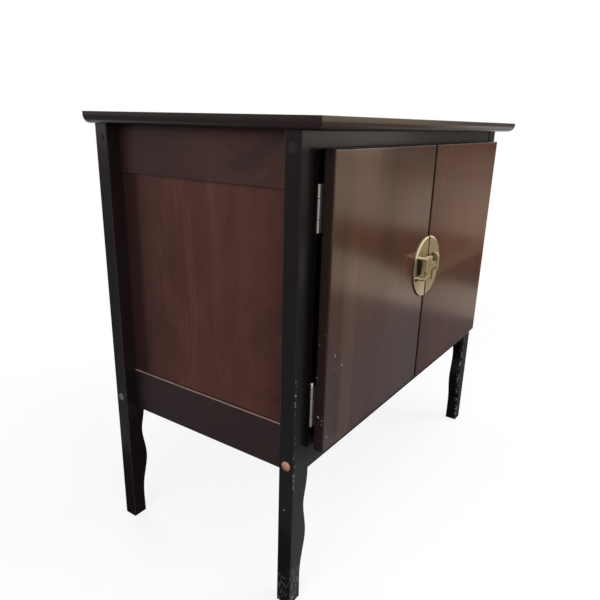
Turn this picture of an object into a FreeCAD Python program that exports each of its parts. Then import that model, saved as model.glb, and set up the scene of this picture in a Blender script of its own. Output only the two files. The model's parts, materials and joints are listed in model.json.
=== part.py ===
"""Record cabinet: four posts, framed sides, two doors on butt hinges and a round split lock.

Millimetres, +Z up, +X to the viewer's right, the front faces -Y. The origin is on the floor,
in the middle of the cabinet's whole footprint.
"""
import FreeCAD, Part
import math
import os

V = FreeCAD.Vector

# Case
HEIGHT = 700.0
CASE_WIDTH = 736.0
CASE_DEPTH = 370.0

# Top board
TOP_THICKNESS = 16.5
TOP_SIDE_OVERHANG = 15.0
TOP_FRONT_OVERHANG = 35.0
TOP_BACK_OVERHANG = 6.0
TOP_UNDERCUT = 12.0
TOP_EDGE_ROUND = 0.8

# Posts, and the leg's outline as shares of the post's width at shares of the leg's height
POST_WIDTH = 36.5
POST_DEPTH = 24.5
POST_EDGE_ROUND = 1.5
FOOT_CHAMFER = 1.5
FOOT_SHARE = 0.671
NECK_SHARE, NECK_RISE = 0.72, 0.305
BUMP_SHARE, BUMP_RISE = 0.973, 0.516
DIP_SHARE, DIP_RISE = 0.781, 0.749

# Side frames
SIDE_RAIL_THICKNESS = 14.0
SIDE_BOTTOM_RAIL_Z = 215.0
SIDE_BOTTOM_RAIL_HEIGHT = 71.0
SIDE_TOP_RAIL_HEIGHT = 70.0
TENON_SHARE = 0.27
TENON_THICKNESS = 7.0
TENON_SHOULDER = 8.0
PANEL_SETBACK = 3.0
PANEL_THICKNESS = 6.0
GROOVE_DEPTH = 6.0

# Front and back rails
FRONT_RAIL_SETBACK = 1.0
FRONT_RAIL_THICKNESS = 20.0
BOTTOM_RAIL_Z = 223.0
BOTTOM_RAIL_HEIGHT = 34.0
TOP_RAIL_HEIGHT = 38.5
BACK_RAIL_THICKNESS = 16.0
BACK_PANEL_THICKNESS = 6.0
BACK_PANEL_SETBACK = 1.0
CROSS_TENON_INSET = 9.5
CROSS_TENON_THICKNESS = 5.0
TOP_TENON_RISE = 8.0
TOP_TENON_SHOULDER = 7.0

# Inside
FLOOR_THICKNESS = 12.0
CLEAT_SIZE = 16.0
DIVIDER_COUNT = 3
DIVIDER_THICKNESS = 8.0
DIVIDER_TOP_GAP = 31.0
DIVIDER_FRONT_SETBACK = 30.0
DIVIDER_CORNER_RADIUS = 110.0
DIVIDER_GROOVE_DEPTH = 4.0
DIVIDER_RAIL_HEIGHT = 30.0
DIVIDER_RAIL_DROP = 70.0
DIVIDER_NOTCH_DEPTH = 10.0

# Doors
DOOR_THICKNESS = 17.5
DOOR_BACK_GAP = 2.2
DOOR_SIDE_GAP = 6.5
DOOR_MEETING_GAP = 5.0
MEETING_X = -6.0
DOOR_TOP_GAP = 20.0
DOOR_BOTTOM_RISE = 28.0
DOOR_FRONT_ROUND = 2.5
DOOR_BACK_ROUND = 5.0

# Hinges
HINGE_LENGTH = 60.0
LOW_HINGE_INSET = 68.0
HIGH_HINGE_INSET = 72.0
KNUCKLE_CLEARANCE = 0.75
END_KNUCKLE_LENGTH = 17.0
KNUCKLE_GAP = 0.3
LEAF_NOTCH_GAP = 0.5
LEAF_THICKNESS = 1.2
POST_LEAF_WIDTH = 17.0
DOOR_LEAF_WIDTH = 20.0
PIN_RADIUS = 1.3
FINIAL_RADIUS = 3.1
FINIAL_NECK = 1.6
FINIAL_COLLAR = 3.0
COLLAR_HEIGHT = 1.2
FINIAL_STEPS = 4

# Lock
LOCK_SHARE = 0.522
PLATE_RADIUS = 52.0
PLATE_THICKNESS = 2.5
PLATE_RIM_CHAMFER = 0.9
PLATE_DROP = 4.5
STRAP_THICKNESS = 2.5
GUIDE_HEIGHT = 38.0
GUIDE_WIDTH = 25.0
GUIDE_DEPTH = 17.0
GUIDE_OFFSET = 34.5
GUIDE_CHANNEL = 2.6
GUIDE_RETURN = 1.4
GUIDE_ARM_WIDTH = 7.0
GUIDE_ARM_THICKNESS = 4.0
GUIDE_CORNER_ROUND = 2.2
GUIDE_WAIST_RADIUS = 6.0
KEEPER_HEIGHT = 16.5
KEEPER_WIDTH = 6.0
KEEPER_DEPTH = 17.0
KEEPER_OFFSET = 7.5
LUG_STRAIGHT = 4.5
LUG_CHAMFER = 1.2
BOLT_CARRIAGE_LENGTH = 24.0
BOLT_TRAVEL = 15.0
BOLT_TIP_MARGIN = 0.6
TONGUE_PLAY = 1.75
TONGUE_SIDE_PLAY = 0.75
TAB_GAP = 1.6
TAB_THICKNESS = 2.5
TAB_STRAIGHT = 9.0
DROP_RING_PLAY = 0.65
DROP_RING_WALL = 1.4
DROP_THICKNESS = 2.0
DROP_STANDOFF = 5.5
DROP_LENGTH = 17.0
DROP_WIDTH = 4.5

# Wood plugs in the posts
PLUG_RADIUS = 6.0
PLUG_DEPTH = 6.0
PLUG_STAND = 0.9

# Clearances
FIT = 0.1
SLIDE = 0.3
PIN_FIT = 0.05
PANEL_PLAY = 1.0

# How near an edge lies to a face that it belongs to, and how far a tool runs past a face
NEAR = 0.01
PAST = 1.0

# Places worked out from the sizes above
LOCK_REACH = DOOR_BACK_GAP + DOOR_THICKNESS + PLATE_THICKNESS + max(GUIDE_DEPTH, KEEPER_DEPTH)
FRONT_REACH = max(TOP_FRONT_OVERHANG, LOCK_REACH)
FRONT_Y = (FRONT_REACH - CASE_DEPTH - TOP_BACK_OVERHANG) / 2
BACK_Y = FRONT_Y + CASE_DEPTH
MIDDLE_Y = (FRONT_Y + BACK_Y) / 2
LEFT_X = -CASE_WIDTH / 2
POST_INNER_X = LEFT_X + POST_WIDTH
SIDE_RAIL_X = POST_INNER_X - SIDE_RAIL_THICKNESS
PANEL_X = SIDE_RAIL_X + PANEL_SETBACK
TOP_Z = HEIGHT - TOP_THICKNESS
BOTTOM_RAIL_TOP_Z = BOTTOM_RAIL_Z + BOTTOM_RAIL_HEIGHT
TOP_RAIL_Z = TOP_Z - TOP_RAIL_HEIGHT
SIDE_TOP_RAIL_Z = TOP_Z - SIDE_TOP_RAIL_HEIGHT
SIDE_BOTTOM_RAIL_TOP_Z = SIDE_BOTTOM_RAIL_Z + SIDE_BOTTOM_RAIL_HEIGHT
FLOOR_TOP_Z = BOTTOM_RAIL_TOP_Z + FLOOR_THICKNESS
BACK_PANEL_Y = BACK_Y - BACK_PANEL_SETBACK - BACK_PANEL_THICKNESS
BACK_RAIL_Y = BACK_PANEL_Y - BACK_RAIL_THICKNESS
FRONT_RAIL_Y = FRONT_Y + FRONT_RAIL_SETBACK
DIVIDER_TOP_Z = TOP_RAIL_Z - DIVIDER_TOP_GAP
PLUG_Y = FRONT_Y + POST_DEPTH / 2
PLUG_Z = (BOTTOM_RAIL_Z + BOTTOM_RAIL_HEIGHT / 2, TOP_RAIL_Z + TOP_RAIL_HEIGHT / 2)
TENON_LENGTH = POST_DEPTH * TENON_SHARE

DOOR_BACK_Y = FRONT_Y - DOOR_BACK_GAP
DOOR_FRONT_Y = DOOR_BACK_Y - DOOR_THICKNESS
DOOR_LEFT_X = POST_INNER_X + DOOR_SIDE_GAP
DOOR_MEETING_X = MEETING_X - DOOR_MEETING_GAP / 2
DOOR_TOP_Z = TOP_Z - DOOR_TOP_GAP
DOOR_BOTTOM_Z = BOTTOM_RAIL_Z + DOOR_BOTTOM_RISE
KNUCKLE_RADIUS = DOOR_SIDE_GAP / 2 - KNUCKLE_CLEARANCE
HINGE_X = POST_INNER_X + DOOR_SIDE_GAP / 2
HINGE_Y = DOOR_BACK_Y + KNUCKLE_RADIUS
HINGE_Z = (DOOR_BOTTOM_Z + LOW_HINGE_INSET, DOOR_TOP_Z - HIGH_HINGE_INSET)

LOCK_Z = DOOR_BOTTOM_Z + (DOOR_TOP_Z - DOOR_BOTTOM_Z) * LOCK_SHARE
PLATE_Y = DOOR_FRONT_Y - PLATE_THICKNESS
GUIDE_LEFT_X = MEETING_X - GUIDE_OFFSET - GUIDE_WIDTH / 2
KEEPER_LEFT_X = MEETING_X + KEEPER_OFFSET - KEEPER_WIDTH / 2
KEEPER_LOW_Z, KEEPER_TOP_Z = LOCK_Z - KEEPER_HEIGHT / 2, LOCK_Z + KEEPER_HEIGHT / 2
LUG_Z = KEEPER_TOP_Z + LUG_STRAIGHT
DROP_X, DROP_AXIS_Z = KEEPER_LEFT_X + KEEPER_WIDTH / 2, KEEPER_LOW_Z + STRAP_THICKNESS / 2
DROP_BACK_Y = PLATE_Y - DROP_STANDOFF
DROP_FRONT_Y = DROP_BACK_Y - DROP_THICKNESS
DROP_RING_RADIUS = math.hypot(KEEPER_WIDTH, STRAP_THICKNESS) / 2 + DROP_RING_PLAY
TONGUE_FRONT_Y = PLATE_Y - min(GUIDE_DEPTH, KEEPER_DEPTH) + STRAP_THICKNESS + TONGUE_PLAY
TONGUE_BACK_Y = DROP_FRONT_Y - TONGUE_PLAY
TONGUE_HEIGHT = KEEPER_HEIGHT - 2 * STRAP_THICKNESS - 2 * TONGUE_SIDE_PLAY
TONGUE_TOP_Z = LOCK_Z + TONGUE_HEIGHT / 2
TONGUE_TIP_X = DOOR_MEETING_X - BOLT_TIP_MARGIN


def block(x0, x1, y0, y1, z0, z1):
    """Box between three pairs of planes."""
    return Part.makeBox(x1 - x0, y1 - y0, z1 - z0, V(x0, y0, z0))


def rod(radius, length, start, direction):
    """Cylinder from a start point along a direction."""
    return Part.makeCylinder(radius, length, V(*start), V(*direction))


def right_twin(shape):
    """Mirror image on the other side of the middle plane."""
    return shape.mirror(V(0, 0, 0), V(1, 0, 0))


def meeting_twin(shape):
    """Mirror image on the other side of the doors' meeting line."""
    return shape.mirror(V(MEETING_X, 0, 0), V(1, 0, 0))


def back_twin(shape):
    """Mirror image about the plane half way between front and back posts."""
    return shape.mirror(V(0, MIDDLE_Y, 0), V(0, 1, 0))


def turned(profile, axis):
    """Solid turned from a closed profile about an axis through the profile's first point."""
    return Part.Face(Part.makePolygon(profile + profile[:1])).revolve(profile[0], V(*axis), 360)


def cut_all(shape, tools):
    """Shape with every tool taken away."""
    for tool in tools:
        shape = shape.cut(tool)
    return shape


def edges_where(shape, test):
    """Edges whose bounding box passes a test."""
    return [edge for edge in shape.Edges if test(edge.BoundBox)]


def save(node, *solids):
    """Write one node, a single solid or a group of like solids."""
    pieces = [piece for solid in solids for piece in solid.Solids]
    shape = pieces[0] if len(pieces) == 1 else Part.makeCompound(pieces)
    if not shape.isValid() or min(piece.Volume for piece in pieces) <= 0:
        raise ValueError(node + " is not a sound solid")
    shape.exportStep("parts/" + node + ".step")


# Case

def top_board():
    """Flat board whose front and side edges are rounded away underneath."""
    half = CASE_WIDTH / 2 + TOP_SIDE_OVERHANG
    front = FRONT_Y - TOP_FRONT_OVERHANG
    back = BACK_Y + TOP_BACK_OVERHANG
    board = block(-half, half, front, back, TOP_Z, HEIGHT)
    low = edges_where(board, lambda b: b.ZMax < TOP_Z + NEAR and b.YMin < back - NEAR)
    board = board.makeFillet(TOP_UNDERCUT, low)
    high = edges_where(board, lambda b: b.ZMin > HEIGHT - NEAR and b.YMin < back - NEAR)
    return board.makeFillet(TOP_EDGE_ROUND, high)


def post_blank():
    """Front left post: straight outside, the inner side of its leg scalloped."""
    curve = Part.BSplineCurve()
    outline = ((FOOT_SHARE, 0), (NECK_SHARE, NECK_RISE), (BUMP_SHARE, BUMP_RISE),
               (DIP_SHARE, DIP_RISE), (1, 1))
    points = [V(LEFT_X + share * POST_WIDTH, FRONT_Y, rise * BOTTOM_RAIL_Z) for share, rise in outline]
    curve.interpolate(Points=points, InitialTangent=V(0, 0, 1), FinalTangent=V(0, 0, 1))
    corners = [points[-1], V(POST_INNER_X, FRONT_Y, TOP_Z), V(LEFT_X, FRONT_Y, TOP_Z),
               V(LEFT_X, FRONT_Y, 0), points[0]]
    edges = [curve.toShape()]
    for start, end in zip(corners, corners[1:]):
        edges.append(Part.makeLine(start, end))
    post = Part.Face(Part.Wire(edges)).extrude(V(0, POST_DEPTH, 0))
    sole = edges_where(post, lambda b: b.ZMax < NEAR)
    post = post.makeChamfer(FOOT_CHAMFER, sole)
    upright = edges_where(post, lambda b: b.XMax < LEFT_X + NEAR and b.ZLength > BOTTOM_RAIL_Z)
    return post.makeFillet(POST_EDGE_ROUND, upright)


def rail_tenon(y0, y1, z0, z1):
    """Box that a side rail's tenon fills, between two heights of its rail."""
    middle = SIDE_RAIL_X + SIDE_RAIL_THICKNESS / 2
    half = TENON_THICKNESS / 2
    return block(middle - half, middle + half, y0, y1, z0 + TENON_SHOULDER, z1 - TENON_SHOULDER)


def panel_groove(y0, y1, z0, z1):
    """Groove for a side panel, with room on both faces."""
    return block(PANEL_X - FIT, PANEL_X + PANEL_THICKNESS + FIT, y0, y1, z0, z1)


def cross_tenon(x0, x1, z0, z1):
    """Box that a front rail's tenon fills, between two heights of its rail."""
    front = FRONT_Y + CROSS_TENON_INSET
    return block(x0, x1, front, front + CROSS_TENON_THICKNESS, z0 + TENON_SHOULDER, z1 - TENON_SHOULDER)


def top_tenon():
    """Stub on the front left post that stands in a mortise of the top."""
    return block(LEFT_X + TOP_TENON_SHOULDER, POST_INNER_X - TOP_TENON_SHOULDER,
                 FRONT_Y + TOP_TENON_SHOULDER, FRONT_Y + POST_DEPTH - TOP_TENON_SHOULDER,
                 TOP_Z, TOP_Z + TOP_TENON_RISE)


def four_corners(shape):
    """A front left shape and its likes at the three other corners."""
    left = [shape, back_twin(shape)]
    return left + [right_twin(piece) for piece in left]


def post_joinery():
    """Mortises, panel groove and plug holes of the front left post."""
    inner_y = FRONT_Y + POST_DEPTH
    tools = [panel_groove(inner_y - GROOVE_DEPTH, inner_y,
                          SIDE_BOTTOM_RAIL_TOP_Z - GROOVE_DEPTH, SIDE_TOP_RAIL_Z + GROOVE_DEPTH)]
    for z0, z1 in ((SIDE_BOTTOM_RAIL_Z, SIDE_BOTTOM_RAIL_TOP_Z), (SIDE_TOP_RAIL_Z, TOP_Z)):
        tools.append(rail_tenon(inner_y - TENON_LENGTH, inner_y, z0, z1))
    for z0, z1 in ((BOTTOM_RAIL_Z, BOTTOM_RAIL_TOP_Z), (TOP_RAIL_Z, TOP_Z)):
        tools.append(cross_tenon(POST_INNER_X - TENON_LENGTH, POST_INNER_X, z0, z1))
    for z in PLUG_Z:
        tools.append(rod(PLUG_RADIUS + FIT, PLUG_DEPTH, (LEFT_X, PLUG_Y, z), (1, 0, 0)))
    return tools


def side_rail(z0, z1, groove_z0, groove_z1):
    """Left side rail with a tenon at each end and a groove for the panel."""
    front, back = FRONT_Y + POST_DEPTH, BACK_Y - POST_DEPTH
    rail = block(SIDE_RAIL_X, POST_INNER_X, front, back, z0, z1)
    rail = rail.fuse(rail_tenon(front - TENON_LENGTH, back + TENON_LENGTH, z0, z1)).removeSplitter()
    return rail.cut(panel_groove(front, back, groove_z0, groove_z1))


def side_panel():
    """Left panel, standing on the bottom rail's groove with play above and at both ends."""
    reach = GROOVE_DEPTH - PANEL_PLAY
    return block(PANEL_X, PANEL_X + PANEL_THICKNESS,
                 FRONT_Y + POST_DEPTH - reach, BACK_Y - POST_DEPTH + reach,
                 SIDE_BOTTOM_RAIL_TOP_Z - GROOVE_DEPTH, SIDE_TOP_RAIL_Z + reach)


def cross_rail(y0, thickness, tenon, z0, z1):
    """Rail between two posts, with a tenon right through it that stands out at both ends."""
    rail = block(POST_INNER_X, -POST_INNER_X, y0, y0 + thickness, z0, z1)
    return rail.fuse(tenon).removeSplitter()


def back_panel():
    """Thin sheet between the back posts, on the back rails."""
    side = -POST_INNER_X - SLIDE
    return block(-side, side, BACK_PANEL_Y, BACK_PANEL_Y + BACK_PANEL_THICKNESS,
                 BOTTOM_RAIL_Z, TOP_Z - SLIDE)


def post_plug(z):
    """Wood plug in the front left post, its face standing a little proud."""
    return rod(PLUG_RADIUS, PLUG_STAND + PLUG_DEPTH, (LEFT_X - PLUG_STAND, PLUG_Y, z), (1, 0, 0))


# Inside

def divider_places():
    """Middles of the dividers, which share the inside into even bays."""
    bay = -2 * POST_INNER_X / (DIVIDER_COUNT + 1)
    return [POST_INNER_X + bay * (index + 1) for index in range(DIVIDER_COUNT)]


def divider_slot(x, y0, y1, z0, z1):
    """Groove or notch that holds a divider."""
    half = DIVIDER_THICKNESS / 2 + FIT
    return block(x - half, x + half, y0, y1, z0, z1)


def floor_board():
    """Board on the bottom rails and cleats, grooved for the dividers."""
    side = -POST_INNER_X - SLIDE
    board = block(-side, side, FRONT_RAIL_Y, BACK_PANEL_Y - SLIDE, BOTTOM_RAIL_TOP_Z, FLOOR_TOP_Z)
    front = FRONT_Y + DIVIDER_FRONT_SETBACK - FIT
    groove_z = FLOOR_TOP_Z - DIVIDER_GROOVE_DEPTH
    return cut_all(board, [divider_slot(x, front, BACK_PANEL_Y, groove_z, FLOOR_TOP_Z)
                           for x in divider_places()])


def divider(x):
    """Upright sheet with a hollow front corner, so that a sleeve's edge can be reached."""
    front = FRONT_Y + DIVIDER_FRONT_SETBACK
    back = BACK_RAIL_Y + DIVIDER_NOTCH_DEPTH - FIT
    half = DIVIDER_THICKNESS / 2
    sheet = block(x - half, x + half, front, back, FLOOR_TOP_Z - DIVIDER_GROOVE_DEPTH, DIVIDER_TOP_Z)
    hollow = rod(DIVIDER_CORNER_RADIUS, DIVIDER_THICKNESS + 2 * PAST,
                 (x - half - PAST, front, DIVIDER_TOP_Z), (1, 0, 0))
    return sheet.cut(hollow)


def divider_rail():
    """Rail between the back posts, notched for the dividers' back edges."""
    high = DIVIDER_TOP_Z - DIVIDER_RAIL_DROP
    low = high - DIVIDER_RAIL_HEIGHT
    rail = block(POST_INNER_X, -POST_INNER_X, BACK_RAIL_Y, BACK_PANEL_Y, low, high)
    return cut_all(rail, [divider_slot(x, BACK_RAIL_Y, BACK_RAIL_Y + DIVIDER_NOTCH_DEPTH, low, high)
                          for x in divider_places()])


def floor_cleat():
    """Left batten under the floor board."""
    return block(POST_INNER_X, POST_INNER_X + CLEAT_SIZE,
                 FRONT_RAIL_Y + FRONT_RAIL_THICKNESS, BACK_RAIL_Y,
                 BOTTOM_RAIL_TOP_Z - CLEAT_SIZE, BOTTOM_RAIL_TOP_Z)


# Doors and hinges

def knuckle(z0, z1):
    """Rolled barrel of a leaf, bored for the pin."""
    barrel = rod(KNUCKLE_RADIUS, z1 - z0, (HINGE_X, HINGE_Y, z0), (0, 0, 1))
    return barrel.cut(rod(PIN_RADIUS + PIN_FIT, z1 - z0, (HINGE_X, HINGE_Y, z0), (0, 0, 1)))


def pin_bore():
    """The pin's bore through both barrels of a hinge."""
    low = HINGE_Z[0] - HINGE_LENGTH
    return rod(PIN_RADIUS + PIN_FIT, HEIGHT - low, (HINGE_X, HINGE_Y, low), (0, 0, 1))


def post_leaf(z):
    """Left leaf on the inner face of the post, with the top and bottom barrels."""
    low, high = z - HINGE_LENGTH / 2, z + HINGE_LENGTH / 2
    leaf = block(POST_INNER_X, POST_INNER_X + LEAF_THICKNESS,
                 HINGE_Y, HINGE_Y + KNUCKLE_RADIUS + POST_LEAF_WIDTH, low, high)
    gap_low, gap_high = low + END_KNUCKLE_LENGTH, high - END_KNUCKLE_LENGTH
    leaf = leaf.cut(block(POST_INNER_X, POST_INNER_X + LEAF_THICKNESS,
                          HINGE_Y, HINGE_Y + KNUCKLE_RADIUS + LEAF_NOTCH_GAP, gap_low, gap_high))
    leaf = leaf.fuse([knuckle(low, gap_low), knuckle(gap_high, high)]).removeSplitter()
    return leaf.cut(pin_bore())


def door_leaf(z):
    """Left leaf on the back of the door, with the middle barrel."""
    low, high = z - HINGE_LENGTH / 2, z + HINGE_LENGTH / 2
    leaf = block(HINGE_X, HINGE_X + KNUCKLE_RADIUS + DOOR_LEAF_WIDTH,
                 DOOR_BACK_Y, DOOR_BACK_Y + LEAF_THICKNESS, low, high)
    mid_low = low + END_KNUCKLE_LENGTH + KNUCKLE_GAP
    mid_high = high - END_KNUCKLE_LENGTH - KNUCKLE_GAP
    for z0, z1 in ((low, mid_low), (mid_high, high)):
        leaf = leaf.cut(block(HINGE_X, HINGE_X + KNUCKLE_RADIUS + LEAF_NOTCH_GAP,
                              DOOR_BACK_Y, DOOR_BACK_Y + LEAF_THICKNESS, z0, z1))
    leaf = leaf.fuse(knuckle(mid_low, mid_high)).removeSplitter()
    return leaf.cut(pin_bore())


def fixed_pin(z):
    """Plain pin, flush with the barrels."""
    return rod(PIN_RADIUS, HINGE_LENGTH, (HINGE_X, HINGE_Y, z - HINGE_LENGTH / 2), (0, 0, 1))


def finial_pin(z):
    """Loose pin, turned with a collar and a ball above the barrels."""
    low, high = z - HINGE_LENGTH / 2, z + HINGE_LENGTH / 2
    collar_top = high + COLLAR_HEIGHT
    outline = [(0, low), (PIN_RADIUS, low), (PIN_RADIUS, high),
               (FINIAL_COLLAR, high), (FINIAL_COLLAR, collar_top)]
    neck_turn = math.asin(FINIAL_NECK / FINIAL_RADIUS)
    ball_z = collar_top + FINIAL_RADIUS * math.cos(neck_turn)
    for step in range(FINIAL_STEPS):
        turn = neck_turn + (math.pi - neck_turn) * step / FINIAL_STEPS
        outline.append((FINIAL_RADIUS * math.sin(turn), ball_z - FINIAL_RADIUS * math.cos(turn)))
    outline.append((0, ball_z + FINIAL_RADIUS))
    return turned([V(HINGE_X + radius, HINGE_Y, height) for radius, height in outline], (0, 0, 1))


def door_slab(free_x):
    """Left door up to its free edge: a slab with a soft front edge and a rounder back edge."""
    slab = block(DOOR_LEFT_X, free_x, DOOR_FRONT_Y, DOOR_BACK_Y, DOOR_BOTTOM_Z, DOOR_TOP_Z)
    front = edges_where(slab, lambda b: b.YMax < DOOR_FRONT_Y + NEAR)
    slab = slab.makeFillet(DOOR_FRONT_ROUND, front)
    back = edges_where(slab, lambda b: b.YMin > DOOR_BACK_Y - NEAR and b.XMin < free_x - NEAR)
    return slab.makeFillet(DOOR_BACK_ROUND, back)


# Lock

def half_plate():
    """Left half of the round plate, its rim bevelled."""
    plate_z = LOCK_Z - PLATE_DROP
    disc = rod(PLATE_RADIUS, PLATE_THICKNESS, (DOOR_MEETING_X, PLATE_Y, plate_z), (0, 1, 0))
    rim = edges_where(disc, lambda b: b.YMax < PLATE_Y + NEAR)
    disc = disc.makeChamfer(PLATE_RIM_CHAMFER, rim)
    reach = PLATE_RADIUS + PAST
    keep = block(DOOR_MEETING_X - reach, DOOR_MEETING_X, PLATE_Y, DOOR_FRONT_Y,
                 plate_z - reach, plate_z + reach)
    return disc.common(keep)


def bolt_guide():
    """Bridge on the left half: two arms out from the plate, and a strap that is a channel for the bolt."""
    left, right = GUIDE_LEFT_X, GUIDE_LEFT_X + GUIDE_WIDTH
    low, high = LOCK_Z - GUIDE_HEIGHT / 2, LOCK_Z + GUIDE_HEIGHT / 2
    front = PLATE_Y - GUIDE_DEPTH
    guide = block(left, right, front, PLATE_Y, low, high)
    corners = edges_where(guide, lambda b: b.YMax < front + NEAR and b.XLength > GUIDE_WIDTH - NEAR)
    guide = guide.makeFillet(GUIDE_CORNER_ROUND, corners)
    channel_back = front + STRAP_THICKNESS + GUIDE_CHANNEL
    channel = block(left, right, front + STRAP_THICKNESS, channel_back,
                    low + STRAP_THICKNESS, high - STRAP_THICKNESS)
    between_arms = block(left, right, channel_back, PLATE_Y,
                         low + GUIDE_ARM_THICKNESS, high - GUIDE_ARM_THICKNESS)
    beside_arms = block(left + GUIDE_ARM_WIDTH, right, channel_back + GUIDE_RETURN, PLATE_Y, low, high)
    waist = rod(GUIDE_WAIST_RADIUS, STRAP_THICKNESS,
                (left, front, low + GUIDE_ARM_THICKNESS + GUIDE_WAIST_RADIUS), (0, 1, 0))
    return cut_all(guide, [channel, between_arms, beside_arms, waist])


def bolt_keeper():
    """Round-headed lug on the right half, with a window that takes the bolt's tongue."""
    right = KEEPER_LEFT_X + KEEPER_WIDTH
    front, radius = PLATE_Y - KEEPER_DEPTH, KEEPER_DEPTH / 2
    lug = block(KEEPER_LEFT_X, right, front, PLATE_Y, KEEPER_LOW_Z, LUG_Z)
    lug = lug.fuse(rod(radius, KEEPER_WIDTH, (KEEPER_LEFT_X, front + radius, LUG_Z), (1, 0, 0)))
    lug = lug.removeSplitter()
    rim = edges_where(lug, lambda b: b.XLength < NEAR and b.ZMin > LUG_Z - NEAR)
    lug = lug.makeChamfer(LUG_CHAMFER, rim)
    return lug.cut(block(KEEPER_LEFT_X, right, front + STRAP_THICKNESS, PLATE_Y,
                         KEEPER_LOW_Z + STRAP_THICKNESS, KEEPER_TOP_Z - STRAP_THICKNESS))


def lock_bolt():
    """Sliding bolt drawn back: carriage in the guide's channel, tongue, and a round-headed thumb tab."""
    left = GUIDE_LEFT_X + SLIDE
    front = PLATE_Y - GUIDE_DEPTH + STRAP_THICKNESS + SLIDE
    half = GUIDE_HEIGHT / 2 - STRAP_THICKNESS - SLIDE
    carriage = block(left, left + BOLT_CARRIAGE_LENGTH, front, front + GUIDE_CHANNEL - 2 * SLIDE,
                     LOCK_Z - half, LOCK_Z + half)
    tongue = block(left + BOLT_CARRIAGE_LENGTH / 2, TONGUE_TIP_X, TONGUE_FRONT_Y, TONGUE_BACK_Y,
                   TONGUE_TOP_Z - TONGUE_HEIGHT, TONGUE_TOP_Z)
    return carriage.fuse([tongue, thumb_tab()]).removeSplitter()


def thumb_tab():
    """Round-headed tab on the tongue, which stops short of the keeper when the bolt is shot."""
    left = GUIDE_LEFT_X + GUIDE_WIDTH + TAB_GAP
    right = KEEPER_LEFT_X - BOLT_TRAVEL - 2 * SLIDE
    radius = (right - left) / 2
    head_z = TONGUE_TOP_Z + TAB_STRAIGHT
    stem = block(left, right, TONGUE_FRONT_Y, TONGUE_FRONT_Y + TAB_THICKNESS, TONGUE_TOP_Z, head_z)
    return stem.fuse(rod(radius, TAB_THICKNESS, (left + radius, TONGUE_FRONT_Y, head_z), (0, 1, 0)))


def drop_pull():
    """Slim drop that hangs by a ring from the keeper's lower arm."""
    start = (DROP_X, DROP_FRONT_Y, DROP_AXIS_Z)
    ring = rod(DROP_RING_RADIUS + DROP_RING_WALL, DROP_THICKNESS, start, (0, 1, 0))
    half = DROP_WIDTH / 2
    end_z = DROP_AXIS_Z - DROP_RING_RADIUS - DROP_LENGTH + half
    corners = ((-half / 2, DROP_AXIS_Z), (half / 2, DROP_AXIS_Z), (half, end_z), (-half, end_z))
    outline = [V(DROP_X + across, DROP_FRONT_Y, z) for across, z in corners]
    blade = Part.Face(Part.makePolygon(outline + outline[:1])).extrude(V(0, DROP_THICKNESS, 0))
    bulb = rod(half, DROP_THICKNESS, (DROP_X, DROP_FRONT_Y, end_z), (0, 1, 0))
    pull = ring.fuse([blade, bulb]).removeSplitter()
    return pull.cut(rod(DROP_RING_RADIUS, DROP_THICKNESS, start, (0, 1, 0)))


# Write every node

def save_case():
    """Posts, rails, panels, top and inside pieces."""
    save("top_board", cut_all(top_board(), four_corners(top_tenon())))
    post = cut_all(post_blank(), post_joinery()).fuse(top_tenon())
    for name, piece in zip(("front_left", "back_left", "front_right", "back_right"), four_corners(post)):
        save(name + "_post", piece)

    groove_floor = SIDE_BOTTOM_RAIL_TOP_Z - GROOVE_DEPTH
    low_rail = side_rail(SIDE_BOTTOM_RAIL_Z, SIDE_BOTTOM_RAIL_TOP_Z, groove_floor, SIDE_BOTTOM_RAIL_TOP_Z)
    high_rail = side_rail(SIDE_TOP_RAIL_Z, TOP_Z, SIDE_TOP_RAIL_Z, SIDE_TOP_RAIL_Z + GROOVE_DEPTH)
    for name, piece in (("bottom_side_rail", low_rail), ("top_side_rail", high_rail),
                        ("side_panel", side_panel()), ("floor_cleat", floor_cleat())):
        save("left_" + name, piece)
        save("right_" + name, right_twin(piece))

    tenon_x = POST_INNER_X - TENON_LENGTH
    for place, z0, z1 in (("top", TOP_RAIL_Z, TOP_Z), ("bottom", BOTTOM_RAIL_Z, BOTTOM_RAIL_TOP_Z)):
        tenon = cross_tenon(tenon_x, -tenon_x, z0, z1)
        save("front_" + place + "_rail",
             cross_rail(FRONT_RAIL_Y, FRONT_RAIL_THICKNESS, tenon, z0, z1))
        save("back_" + place + "_rail",
             cross_rail(BACK_RAIL_Y, BACK_RAIL_THICKNESS, back_twin(tenon), z0, z1))
    save("back_panel", back_panel())
    bare, dark = [post_plug(z) for z in PLUG_Z]
    save("bare_plug", bare)
    save("post_plugs", *four_corners(bare)[1:], *four_corners(dark))
    save("floor_board", floor_board())
    save("divider_rail", divider_rail())
    for name, x in zip(("left", "middle", "right"), divider_places()):
        save(name + "_divider", divider(x))


def save_doors():
    """Doors and hinges."""
    save("left_door", door_slab(DOOR_MEETING_X))
    save("right_door", right_twin(door_slab(DOOR_MEETING_X - 2 * MEETING_X)))
    pieces = (("hinge_post_leaves", [post_leaf(z) for z in HINGE_Z]),
              ("hinge_door_leaves", [door_leaf(z) for z in HINGE_Z]),
              ("hinge_pins", [finial_pin(HINGE_Z[0]), fixed_pin(HINGE_Z[1])]))
    for name, solids in pieces:
        save("left_" + name, *solids)
        save("right_" + name, *[right_twin(piece) for piece in solids])


def save_lock():
    """Lock plates and what they carry."""
    plate = half_plate()
    save("left_lock_plate", plate)
    save("right_lock_plate", meeting_twin(plate))
    save("bolt_guide", bolt_guide())
    save("bolt_keeper", bolt_keeper())
    save("lock_bolt", lock_bolt())
    save("drop_pull", drop_pull())


os.makedirs("parts", exist_ok=True)
save_case()
save_doors()
save_lock()
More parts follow.
